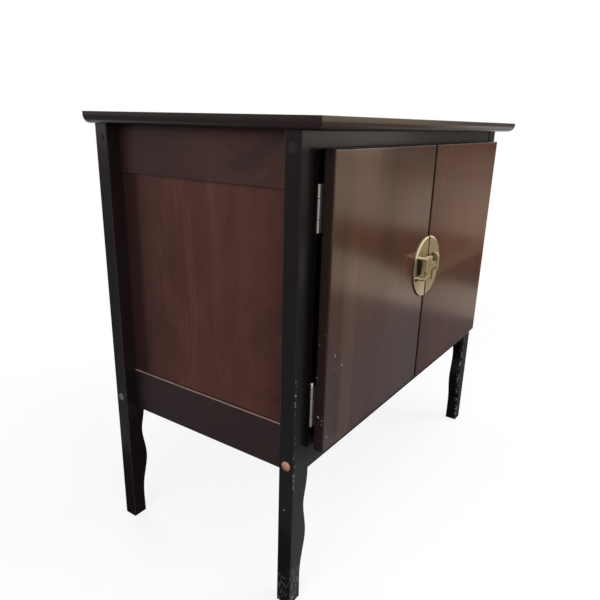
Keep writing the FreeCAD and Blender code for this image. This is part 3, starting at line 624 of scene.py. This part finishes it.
def brass(name, bright, dull, rough, painted_shading, highlights, rosy_reflection):
    """Brass gone a little dull, with tarnish in patches, painted shade and grime in corners and joints, edges
    rubbed bright with painted highlights, and a painted rosy reflection where one is given.
    """
    finish = Finish(name)
    patches = finish.noise(TARNISH, detail=4.0, rough=0.65, bend=0.8).above(*TARNISH_CUT)
    specks = finish.noise(SPECKS, detail=2.0, rough=0.6).above(*SPECK_CUT)
    rubs = finish.noise(BRASS_RUBS, detail=2.0, rough=0.5)
    worn = (patches * PATCH_SHARE + specks * SPECK_SHARE).clamped()
    edges = finish.worn_edges(BRASS_EDGE_WIDTH).higher(highlights(finish))
    colour = finish.blend(worn, bright, dull)
    raw = 0.0
    if rosy_reflection:
        # Painted rosy reflection
        colour = finish.blend(rosy_reflection(finish), colour, BRASS_ROSE_REFLECTION)
        raw = finish.facing("Y", 1, BRASS_FACING)
        colour = finish.blend(raw, colour, BRASS_RAW)
    # Rubbed edges, and painted highlights
    colour = finish.blend(edges * EDGE_SHARE, colour, BRASS_RUB_AND_HIGHLIGHT)
    shade_and_grime = painted_shading(finish)
    # Painted shade, and grime in the hinges' joints
    colour = finish.blend(shade_and_grime, colour, BRASS_SHADE_AND_GRIME)
    metal = (METAL - shade_and_grime * DARKENED_LOSS - raw * RAW_LOSS - edges * EDGE_LOSS).clamped()
    coarse = rough + worn * WORN_ROUGH + (rubs - 0.5) * RUB_ROUGH + shade_and_grime * DARKENED_ROUGH
    return finish.close({"Base Color": colour, "Metallic": metal, "Roughness": coarse,
                         "Specular IOR Level": 0.0,
                         "Normal": finish.relief(rubs * RUB_RISE - specks * SPECK_DEPTH)})


# Lock: reaches from the faces and edges of its pieces
PLATE_FACE = (-0.0004, -0.0002)
ROSE_RIGHT, ROSE_LOW = (0.0, 0.004), (0.03, 0.05)
GUIDE_LEFT, GUIDE_RIGHT = (0.002, 0.005), (-0.002, 0.001)
GUIDE_LOW, GUIDE_HIGH, GUIDE_STRAP = (0.003, 0.006), (-0.006, -0.003), (0.0024, 0.0030)
UNDER_FROM, UNDER_TO = (-0.0048, -0.0030), (0.0, 0.001)
UNDER_LEFT, UNDER_RIGHT = (-0.001, 0.0), (0.0, 0.006)
WINDOW_LEFT, WINDOW_RIGHT = (-0.001, 0.0002), (-0.0002, 0.001)
WINDOW_STRAP, WINDOW_LOW, WINDOW_HIGH = (0.0024, 0.0030), (0.002, 0.003), (0.0, 0.0008)
DROP_FRONT, DROP_BACK = (-0.0004, -0.0002), (0.0002, 0.0004)
DROP_LEFT, DROP_TOP = (-0.001, 0.0), (-0.003, 0.0)
ARM_LINE_FROM, ARM_LINE_TO, ARM_END = (-0.0002, 0.0), (0.0010, 0.0016), (0.0002, 0.0006)
RIM_SHADOW, RIM_SHADOW_SIDE = (-0.0008, -0.0004), (-0.035, -0.02)
MEETING_WIDTH = (0.0030, 0.0042)
RIM_SHINE, RIM_FACE, RIM_SHINE_SIDE = (-0.0018, -0.0012), (-0.0002, 0.0), (0.0, 0.03)
ARM_BACK, ARM_FRONT, ARM_RIGHT = (-0.0008, -0.0004), (0.003, 0.005), (-0.001, 0.001)
ARM_FACING, ARM_SHINE_FROM, ARM_SHINE_TO = (0.3, 0.7), (0.0012, 0.0018), (0.004, 0.005)
LOW_SHINE, LOW_SHINE_RIGHT = (0.3, 0.8), (-0.002, 0.0)
# Shares of the painted rosy reflection, painted shade and painted highlight
RIGHT_ROSE, LOW_ROSE, LOW_SHINE_SHARE = 0.7, 0.8, 0.35
DROP_FRONT_SHADE, DROP_SIDE_SHADE, LOCK_SHADE_SHARE = 0.8, 0.9, 0.92


def on_plate(finish):
    """Mask of the half plates."""
    return finish.axis("Y").above(*past(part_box("left_lock_plate")[0].y, PLATE_FACE))


def from_plate(finish):
    """How far out and up a place is from the plate's middle, how far in all, and the plate's radius."""
    low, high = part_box("left_lock_plate")
    radius = (high.z - low.z) / 2
    out, up = finish.axis("X") - (low.x + radius), finish.axis("Z") - (low.z + radius)
    return out, up, (out * out + up * up).root(), radius


def guide_arms():
    """Heights of the guide's two arms, at their undersides."""
    low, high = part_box("bolt_guide")
    return low.z, high.z - ARM_THICKNESS


def lock_rosy_reflection(finish):
    """Painted rosy reflection on the right half plate and the low left one."""
    low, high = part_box("left_lock_plate")
    # Painted rosy reflection
    right = finish.axis("X").above(*past(high.x, ROSE_RIGHT)) * RIGHT_ROSE
    low_left = finish.axis("Z").below(*past(low.z, ROSE_LOW)) * LOW_ROSE
    return right.higher(low_left) * on_plate(finish)


def guide_shade(finish):
    """Painted shade inside the guide, a painted shadow on the plate under its low arm, and a line of painted
    shade along each arm's end.
    """
    low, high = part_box("bolt_guide")
    along, across, height = finish.axis("Y"), finish.axis("X"), finish.axis("Z")
    # Painted shade inside the guide
    inside = across.above(*past(low.x, GUIDE_LEFT)) * across.below(*past(high.x, GUIDE_RIGHT))
    inside = inside * height.above(*past(low.z, GUIDE_LOW)) * height.below(*past(high.z, GUIDE_HIGH))
    shade_and_grime = inside * along.above(*past(low.y, GUIDE_STRAP))
    # Painted shadow on the plate under the low arm
    under = height.above(*past(low.z, UNDER_FROM)) * height.below(*past(low.z, UNDER_TO))
    under = under * across.above(*past(low.x, UNDER_LEFT)) * across.below(*past(high.x, UNDER_RIGHT))
    shade_and_grime = shade_and_grime.higher(under * on_plate(finish))
    # Painted shade along the lower part of each arm's end
    ends = abs(finish.axis("X", "Normal")).above(*BRASS_FACING) * across.below(*past(low.x, ARM_END))
    for arm in guide_arms():
        line = height.above(*past(arm, ARM_LINE_FROM)) * height.below(*past(arm, ARM_LINE_TO))
        shade_and_grime = shade_and_grime.higher(line * ends)
    return shade_and_grime


def lug_shade(finish):
    """Painted shade in the lug's window, on the drop's front below it and on the drop's sides."""
    low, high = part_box("bolt_keeper")
    drop_low, drop_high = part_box("drop_pull")
    along, across, height = finish.axis("Y"), finish.axis("X"), finish.axis("Z")
    off_drop = along.below(*past(drop_low.y, DROP_FRONT)).higher(along.above(*past(drop_high.y, DROP_BACK)))
    # Painted shade in the lug's window and on the drop
    window = across.above(*past(low.x, WINDOW_LEFT)) * across.below(*past(high.x, WINDOW_RIGHT))
    window = window * along.above(*past(low.y, WINDOW_STRAP)) * (1.0 - on_plate(finish)) * off_drop
    window = window * height.above(*past(low.z, WINDOW_LOW))
    window = window * height.below(*past(LUG_WINDOW_TOP, WINDOW_HIGH))
    drop = (1.0 - off_drop) * across.above(*past(drop_low.x, DROP_LEFT))
    front = drop * height.below(*past(low.z, DROP_TOP))
    sides = abs(finish.axis("X", "Normal")).above(*BRASS_FACING)
    return window.higher(front * DROP_FRONT_SHADE).higher(drop * sides * DROP_SIDE_SHADE)


def plate_shade(finish):
    """Painted shadow round the low left rim and painted shade on the edges where the half plates meet."""
    out, up, away, radius = from_plate(finish)
    # Painted shadow round the low left rim, painted shade on the meeting edges
    rim = away.above(*past(radius, RIM_SHADOW)) * on_plate(finish) * (out + up).below(*RIM_SHADOW_SIDE)
    meeting_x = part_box("left_lock_plate")[1].x + MEETING_GAP / 2
    meeting = abs(finish.axis("X") - meeting_x).below(*MEETING_WIDTH) * on_plate(finish)
    return rim.higher(meeting * abs(finish.axis("X", "Normal")).above(*BRASS_FACING))


def lock_shade(finish):
    """Painted shade in the guide, the lug and the plates' edges, but not on backs."""
    # Painted shade of the lock
    shade_and_grime = guide_shade(finish).higher(lug_shade(finish)).higher(plate_shade(finish))
    return shade_and_grime * (1.0 - finish.facing("Y", 1, BRASS_FACING)) * LOCK_SHADE_SHARE


def lock_highlights(finish):
    """Painted highlights: the plate's upper left rim and the guide's arms; the low left plate a little."""
    along, across, height = finish.axis("Y"), finish.axis("X"), finish.axis("Z")
    low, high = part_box("left_lock_plate")
    guide_low, guide_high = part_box("bolt_guide")
    out, up, away, radius = from_plate(finish)
    # Painted highlights on the rim, the arms' tops and the upper halves of their ends
    rim = away.above(*past(radius, RIM_SHINE)) * along.above(*past(low.y, RIM_FACE))
    rim = rim * (up - out).above(*RIM_SHINE_SIDE)
    arms = along.below(*past(low.y, ARM_BACK)) * along.above(*past(guide_low.y, ARM_FRONT))
    arms = arms * across.below(*past(guide_high.x, ARM_RIGHT)) * finish.facing("Z", 1, ARM_FACING)
    ends = across.below(*past(guide_low.x, ARM_END))
    for arm in guide_arms():
        end = ends * height.above(*past(arm, ARM_SHINE_FROM)) * height.below(*past(arm, ARM_SHINE_TO))
        arms = arms.higher(end)
    low_left = height.below(*(low.z + radius * share for share in LOW_SHINE))
    low_left = low_left * across.below(*past(high.x, LOW_SHINE_RIGHT)) * LOW_SHINE_SHARE
    return rim.higher(arms).higher(low_left)


# Hinges: the finials' span, painted shade from the hinge's axis and across the barrel, and the lines of the
# joints
FINIAL_LOW, FINIAL_HIGH = (0.0004, 0.001), (-0.01, 0.0)
LEAF_SHADE, BARREL_BACK = (0.0001, 0.0006), (-0.0010, -0.0004)
FLANK_X, FLANK_Y, FLANK_WIDTH = 0.54, 0.84, (0.0012, 0.0018)
JOINT_WIDTH = (0.0004, 0.0008)
FLANK_SHARE, HINGE_SHADE_SHARE = 0.85, 0.9


def pin_highlights(finish):
    """Painted highlight on the finials, nearly white."""
    low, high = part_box("left_hinge_post_leaves")
    height = finish.axis("Z")
    # Painted highlight on the finials
    return (height.above(*past(low.z + HINGE_LENGTH, FINIAL_LOW))
            * height.below(*past(high.z - HINGE_LENGTH, FINIAL_HIGH)))


def hinge_shade_and_joints(finish):
    """Painted shade on the leaves and on the barrels' backs and flanks, and dark lines in the joints between
    knuckles.
    """
    low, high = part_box("left_hinge_pins")
    axis_x, axis_y = (low.x + high.x) / 2, (low.y + high.y) / 2
    out, along = abs(finish.axis("X")) + axis_x, finish.axis("Y") - axis_y
    away = (out * out + along * along).root()
    # Painted shade on the leaves and the barrels' backs and flanks
    shade_and_grime = away.above(*past(FINIAL_RADIUS, LEAF_SHADE)).higher(along.above(*BARREL_BACK))
    shade_and_grime = shade_and_grime.higher(abs(out * FLANK_X + along * FLANK_Y).above(*FLANK_WIDTH) * FLANK_SHARE)
    # Dark lines in the joints between knuckles
    height = finish.axis("Z")
    for end, way in ((low.z, 1), (high.z, -1)):
        for step in (KNUCKLE_LENGTH, HINGE_LENGTH - KNUCKLE_LENGTH):
            shade_and_grime = shade_and_grime.higher(abs(height - (end + way * step)).below(*JOINT_WIDTH))
    return shade_and_grime * HINGE_SHADE_SHARE


STEEL_GRAINS = (800.0, 800.0, 800.0)


def screw_steel():
    """Plain screw steel, dull and brushed."""
    finish = Finish("screw_steel")
    dull = finish.noise(STEEL_GRAINS, detail=3.0, rough=0.6)
    return finish.close({"Base Color": finish.blend(dull, STEEL_DARK, STEEL_PALE), "Metallic": 1.0,
                         "Roughness": 0.32 + dull * 0.15, "Normal": finish.relief(dull * RUB_RISE)})


def finishes():
    """Material of each of the record's slots."""
    return {
        "ebonized_wood": ebony(),
        "top_wood": top_wood(),
        "side_rail_wood": side_rail(),
        "side_panel_wood": side_panel(),
        "door_wood": door_veneer(),
        "inside_wood": inside_wood(),
        "back_panel_wood": plain_wood("back_panel_wood", "Z", seed=6.1),
        "divider_wood": plain_wood("divider_wood", "Y", seed=7.7),
        "dark_plug_wood": dark_plugs(),
        "bare_plug_wood": bare_plug(),
        "hinge_brass": brass("hinge_brass", HINGE_BRIGHT, HINGE_DULL, 0.3, hinge_shade_and_joints, pin_highlights, None),
        "lock_brass": brass("lock_brass", BRASS_BRIGHT, BRASS_DULL, 0.34, lock_shade, lock_highlights, lock_rosy_reflection),
    }


def dress(materials):
    """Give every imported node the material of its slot."""
    for row in frame["record"]["subparts"]:
        mesh = NODES[row["node"]].data
        mesh.materials.clear()
        mesh.materials.append(materials[row["material_slot"]])


# Dome of the bare plug
DOME_RADIUS = 0.0074
DOME_RISE = 0.0032
DOME_RINGS = 6
DOME_SIDES = 32


def plug_dome(material):
    """Rounded face of the bare plug, over the plug's own flat one."""
    low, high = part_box("bare_plug")
    centre = (low + high) / 2
    corners, faces = [], []
    for ring in range(DOME_RINGS):
        turn = math.pi / 2 * ring / DOME_RINGS
        radius = DOME_RADIUS * math.cos(turn)
        for side in range(DOME_SIDES):
            angle = math.tau * side / DOME_SIDES
            corners.append((low.x + PLUG_STAND - DOME_RISE * math.sin(turn),
                            centre.y + radius * math.cos(angle), centre.z + radius * math.sin(angle)))
    for ring in range(DOME_RINGS - 1):
        for side in range(DOME_SIDES):
            first, then = ring * DOME_SIDES + side, ring * DOME_SIDES + (side + 1) % DOME_SIDES
            faces.append((first, first + DOME_SIDES, then + DOME_SIDES, then))
    faces.append(tuple(reversed(range((DOME_RINGS - 1) * DOME_SIDES, DOME_RINGS * DOME_SIDES))))
    faces.append(tuple(range(DOME_SIDES)))
    mesh = bpy.data.meshes.new("bare_plug_dome")
    mesh.from_pydata(corners, [], faces)
    for face in mesh.polygons:
        face.use_smooth = True
    mesh.materials.append(material)
    piece = bpy.data.objects.new("bare_plug_dome", mesh)
    bpy.context.scene.collection.objects.link(piece)
    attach(piece, "carcass")


# Small screws: a head is its radius, its rise and a seed for how the slots are turned
SCREW_SIDES = 20
SCREW_SINK = 0.0012
SLOT_WIDTH_SHARE = 0.44
SLOT_LENGTH_SHARE = 3.0
SLOT_DEPTH_SHARE = 1.2
HINGE_SCREWS = 3
HINGE_HEAD = (0.0027, 0.0003, 5)
LEAF_MARGIN = 0.0085
BACK_SCREWS = 6
BACK_HEAD = (0.0032, 0.0009, 7)


def screw_tree():
    """Node group that sets a slotted head on each point, facing where the point faces."""
    tree = bpy.data.node_groups.new("slotted_screws", "GeometryNodeTree")
    tree.interface.new_socket("Points", in_out="INPUT", socket_type="NodeSocketGeometry")
    sockets = {}
    for name, kind in (("Head radius", "NodeSocketFloat"), ("Head rise", "NodeSocketFloat"),
                       ("Seed", "NodeSocketInt"), ("Finish", "NodeSocketMaterial")):
        sockets[name] = tree.interface.new_socket(name, in_out="INPUT", socket_type=kind).identifier
    tree.interface.new_socket("Screws", in_out="OUTPUT", socket_type="NodeSocketGeometry")

    def add(kind, settings=None, inputs=None, output=0):
        node = tree.nodes.new(kind)
        for key, setting in (settings or {}).items():
            setattr(node, key, setting)
        for key, value in (inputs or {}).items():
            if isinstance(value, bpy.types.NodeSocket):
                tree.links.new(value, node.inputs[key])
            else:
                node.inputs[key].default_value = value
        return node.outputs[output]

    def times(value, factor):
        return add("ShaderNodeMath", {"operation": "MULTIPLY"}, {0: value, 1: factor})

    given = tree.nodes.new("NodeGroupInput").outputs
    radius, rise = given["Head radius"], given["Head rise"]
    depth = add("ShaderNodeMath", {"operation": "ADD"}, {0: rise, 1: SCREW_SINK})
    head = add("GeometryNodeMeshCylinder", None, {"Vertices": SCREW_SIDES, "Radius": radius, "Depth": depth})
    lift = add("ShaderNodeCombineXYZ", None, {"Z": times(depth, 0.5)})
    size = add("ShaderNodeCombineXYZ", None, {"X": times(radius, SLOT_LENGTH_SHARE),
                                              "Y": times(radius, SLOT_WIDTH_SHARE),
                                              "Z": times(rise, SLOT_DEPTH_SHARE)})
    bar = add("GeometryNodeTransform", None, {"Geometry": add("GeometryNodeMeshCube", None, {"Size": size}),
                                              "Translation": lift})
    slotted = add("GeometryNodeMeshBoolean", {"operation": "DIFFERENCE"}, {"Mesh 1": head, "Mesh 2": bar})
    facing = add("GeometryNodeInputNamedAttribute", {"data_type": "FLOAT_VECTOR"}, {"Name": "facing"})
    turn = add("FunctionNodeAlignRotationToVector", {"axis": "Z"}, {"Vector": facing})
    angle = add("FunctionNodeRandomValue", {"data_type": "FLOAT"}, {3: math.pi, "Seed": given["Seed"]}, 1)
    spin = add("FunctionNodeEulerToRotation", None,
               {"Euler": add("ShaderNodeCombineXYZ", None, {"Z": angle})})
    turn = add("FunctionNodeRotateRotation", {"rotation_space": "LOCAL"},
               {"Rotation": turn, "Rotate By": spin})
    placed = add("GeometryNodeInstanceOnPoints", None,
                 {"Points": given["Points"], "Instance": slotted, "Rotation": turn})
    real = add("GeometryNodeRealizeInstances", None, {"Geometry": placed})
    done = add("GeometryNodeSetMaterial", None, {"Geometry": real, "Material": given["Finish"]})
    tree.links.new(done, tree.nodes.new("NodeGroupOutput").inputs["Screws"])
    return tree, sockets


def set_screws(kit, name, places, head, material, body):
    """One body's screws as a plain mesh; a place is a point and the way that its head faces."""
    tree, sockets = kit
    radius, rise, seed = head
    points = bpy.data.meshes.new(name + "_points")
    points.from_pydata([place for place, _ in places], [], [])
    facing = points.attributes.new("facing", "FLOAT_VECTOR", "POINT")
    for index, (_, way) in enumerate(places):
        facing.data[index].vector = way
    piece = bpy.data.objects.new(name, points)
    bpy.context.scene.collection.objects.link(piece)
    modifier = piece.modifiers.new("screws", "NODES")
    modifier.node_group = tree
    for key, value in (("Head radius", radius), ("Head rise", rise), ("Seed", seed), ("Finish", material)):
        modifier[sockets[key]] = value
    bpy.context.view_layer.update()
    shown = piece.evaluated_get(bpy.context.evaluated_depsgraph_get())
    plain = bpy.data.meshes.new_from_object(shown)
    piece.modifiers.remove(modifier)
    piece.data = plain
    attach(piece, body)


def evenly(count, low, high):
    """Places with half a step left at each end."""
    return [low + (high - low) * (index + 0.5) / count for index in range(count)]


def small_screws(materials):
    """Screws of the hinge leaves and of the back panel."""
    kit = screw_tree()
    finish = materials["hinge_brass"]
    low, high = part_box("left_hinge_post_leaves")
    heights = evenly(HINGE_SCREWS, low.z, low.z + HINGE_LENGTH)
    heights += evenly(HINGE_SCREWS, high.z - HINGE_LENGTH, high.z)
    post_places = []
    for side, way in (("left", 1), ("right", -1)):
        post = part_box("front_" + side + "_post")
        face = (post[1].x if way > 0 else post[0].x) + way * LEAF_THICKNESS
        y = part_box(side + "_hinge_post_leaves")[1].y - LEAF_MARGIN
        post_places += [((face, y, z), (way, 0, 0)) for z in heights]
        low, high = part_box(side + "_hinge_door_leaves")
        x = high.x - LEAF_MARGIN if way > 0 else low.x + LEAF_MARGIN
        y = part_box(side + "_door")[1].y + LEAF_THICKNESS
        set_screws(kit, side + "_door_leaf_screws", [((x, y, z), (0, 1, 0)) for z in heights], HINGE_HEAD,
                   finish, side + "_door")
    set_screws(kit, "post_leaf_screws", post_places, HINGE_HEAD, finish, "carcass")
    low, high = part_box("back_panel")
    rows = [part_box(rail) for rail in ("back_bottom_rail", "back_top_rail")]
    places = [((x, high.y, (row[0].z + row[1].z) / 2), (0, 1, 0))
              for row in rows for x in evenly(BACK_SCREWS, low.x, high.x)]
    set_screws(kit, "back_panel_screws", places, BACK_HEAD, screw_steel(), "carcass")


# Studio floor: its size, its colours, and how far off it is all white
ROOM = 15.0
FLOOR_PALE = (236, 236, 236)
FLOOR_BOUNCE = (70, 68, 66)
FLOOR_NEAR, FLOOR_FAR = 0.7, 1.6
SHADOW_SHARE = 0.2


def oblong(x0, x1, y0, y1):
    """Outline of an oblong on the floor."""
    return (x0, y0), (x1, y0), (x1, y1), (x0, y1)


# The floor as glossy pieces mirror it: edges in x and y, then name, outline, tone and brightness
CARD_LIFT = 0.001
WARM, COOL = (255, 240, 222), (204, 208, 216)
FAR_FRONT, LEG_FRONT, FRONT, UNDER_BACK = -ROOM, -0.38, -0.172, 0.4
LEFT_EDGE, LEG_EDGE, UNDER_EDGE, NEAR_EDGE, DARK_EDGE, GLEAM_EDGE = -0.5, 0.1, 0.6, 1.15, 2.8, 6.5
DARK_FRONT = ((1.56, FRONT), (1.61, -0.75), (1.40, -0.83), (1.54, -0.905), (1.63, -0.98), (1.66, -1.02),
              (1.77, -1.19), (1.87, -1.45), (1.90, FAR_FRONT))
STRIPS = (
    ("left_floor", oblong(-ROOM, LEFT_EDGE, FAR_FRONT, ROOM), COOL, 0.26),
    ("under_floor", oblong(LEFT_EDGE, UNDER_EDGE, FRONT, UNDER_BACK), WARM, 0.02),
    ("leg_floor", oblong(LEFT_EDGE, LEG_EDGE, FAR_FRONT, FRONT), COOL, 0.45),
    ("far_leg_floor", oblong(LEG_EDGE, NEAR_EDGE, LEG_FRONT, FRONT), COOL, 0.18),
    ("near_floor", oblong(LEG_EDGE, NEAR_EDGE, FAR_FRONT, LEG_FRONT), COOL, 0.30),
    ("near_gleam", ((NEAR_EDGE, FAR_FRONT), *reversed(DARK_FRONT), (NEAR_EDGE, FRONT)), WARM, 0.80),
    ("dark_floor", (*DARK_FRONT, (DARK_EDGE, FAR_FRONT), (DARK_EDGE, FRONT)), WARM, 0.06),
    ("far_gleam", oblong(DARK_EDGE, GLEAM_EDGE, FAR_FRONT, FRONT), WARM, 0.58),
    ("far_floor", oblong(GLEAM_EDGE, ROOM, FAR_FRONT, FRONT), WARM, 0.38),
)

# Low walls, mirrored too: name, x, from y, to y, brightness
WALL_HEIGHT = 2.6
WALLS = (
    ("bright_wall", 14.0, -ROOM, -6.6, 1.0),
    ("right_wall", 14.0, -6.6, ROOM, 0.12),
    ("left_wall", -14.0, -ROOM, ROOM, 0.3),
)

# Light: strength of the even light, and soft boxes with name, place, aim, width and watts
AMBIENT = 0.32
SOFT_BOXES = (
    ("overhead", (0.1, -0.9, 2.3), (0.0, 0.0, 0.4), 2.0, 34.0),
    ("right_key", (1.7, -2.1, 1.4), (0.0, -0.1, 0.4), 1.4, 38.0),
    ("left_fill", (-2.5, -0.3, 1.4), (-0.3, 0.0, 0.45), 1.6, 38.0),
    ("back_fill", (0.5, 2.4, 1.4), (0.0, 0.2, 0.4), 1.6, 38.0),
)


def sheet(name, corners, material):
    """Flat sheet of the studio."""
    mesh = bpy.data.meshes.new(name)
    mesh.from_pydata(corners, [], [tuple(range(len(corners)))])
    mesh.materials.append(material)
    piece = bpy.data.objects.new(name, mesh)
    bpy.context.scene.collection.objects.link(piece)
    return piece


def floor():
    """Pale floor that fades to white with distance and keeps the cabinet's soft shadow."""
    finish = Finish("studio_floor")
    seen = finish.add("ShaderNodeLightPath", output="Is Camera Ray")
    for ray in ("Is Glossy Ray", "Is Transmission Ray"):
        seen = seen.higher(finish.add("ShaderNodeLightPath", output=ray))
    glow = finish.add("ShaderNodeEmission", None, {"Color": (1, 1, 1, 1), "Strength": 1.0})
    matte = finish.add("ShaderNodeBsdfDiffuse", None, {"Color": finish.blend(seen, FLOOR_BOUNCE, FLOOR_PALE)})
    away = finish.add("ShaderNodeVectorMath", {"operation": "LENGTH"}, {0: finish.place()}, "Value")
    white = (away.above(FLOOR_NEAR, FLOOR_FAR) * SHADOW_SHARE + (1.0 - SHADOW_SHARE)) * seen
    material = finish.close_with(finish.add("ShaderNodeMixShader", None, {0: white, 1: matte, 2: glow}))
    sheet("floor", [(x, y, 0) for x, y in oblong(-ROOM, ROOM, -ROOM, ROOM)], material)


def card(name, corners, tone, glow):
    """Sheet that only mirror surfaces see."""
    finish = Finish(name)
    light = finish.add("ShaderNodeEmission", None, {"Color": linear(tone), "Strength": glow})
    piece = sheet(name, corners, finish.close_with(light))
    for rays in ("visible_camera", "visible_diffuse", "visible_shadow", "visible_transmission"):
        setattr(piece, rays, False)


def cards():
    """Patches of floor and low walls for the long reflections in the doors."""
    for name, outline, tone, glow in STRIPS:
        card(name, [(x, y, CARD_LIFT) for x, y in outline], tone, glow)
    for name, x, y0, y1, glow in WALLS:
        card(name, [(x, y0, 0), (x, y1, 0), (x, y1, WALL_HEIGHT), (x, y0, WALL_HEIGHT)], WARM, glow)


def world():
    """White to the camera and to mirrors, a soft even light to everything else."""
    sky = bpy.data.worlds.new("studio")
    bpy.context.scene.world = sky
    sky.use_nodes = True
    tree = sky.node_tree
    path = tree.nodes.new("ShaderNodeLightPath")
    seen = path.outputs["Is Camera Ray"]
    for ray in ("Is Glossy Ray", "Is Transmission Ray"):
        higher = tree.nodes.new("ShaderNodeMath")
        higher.operation = "MAXIMUM"
        tree.links.new(seen, higher.inputs[0])
        tree.links.new(path.outputs[ray], higher.inputs[1])
        seen = higher.outputs[0]
    strength = tree.nodes.new("ShaderNodeMapRange")
    tree.links.new(seen, strength.inputs["Value"])
    strength.inputs["To Min"].default_value = AMBIENT
    base = tree.nodes["Background"]
    base.inputs["Color"].default_value = (1, 1, 1, 1)
    tree.links.new(strength.outputs[0], base.inputs["Strength"])


def lights():
    """Large soft boxes, which mirrors don't show."""
    for name, place, target, width, watts in SOFT_BOXES:
        lamp = bpy.data.lights.new(name, "AREA")
        lamp.shape = "SQUARE"
        lamp.size = width
        lamp.energy = watts
        piece = bpy.data.objects.new(name, lamp)
        piece.location = place
        piece.rotation_euler = (Vector(target) - Vector(place)).to_track_quat("-Z", "Y").to_euler()
        piece.visible_camera = False
        piece.visible_glossy = False
        bpy.context.scene.collection.objects.link(piece)


def camera():
    """Camera at the photograph's place."""
    lens = bpy.data.cameras.new("camera")
    lens.sensor_fit = "HORIZONTAL"
    lens.sensor_width = CAMERA_SENSOR
    lens.lens = CAMERA_LENS
    lens.shift_x, lens.shift_y = CAMERA_SHIFT
    lens.clip_start = CAMERA_NEAR
    piece = bpy.data.objects.new("camera", lens)
    aim = Vector(CAMERA_AIM).to_track_quat("-Z", "Y").to_matrix().to_4x4()
    piece.matrix_world = Matrix.Translation(CAMERA_PLACE) @ aim @ Matrix.Rotation(CAMERA_ROLL, 4, "Z")
    bpy.context.scene.collection.objects.link(piece)
    bpy.context.scene.camera = piece


bpy.context.scene.view_settings.view_transform = "Standard"
materials = finishes()
dress(materials)
plug_dome(materials["bare_plug_wood"])
small_screws(materials)
floor()
cards()
world()
lights()
camera()

bpy.context.view_layer.update()
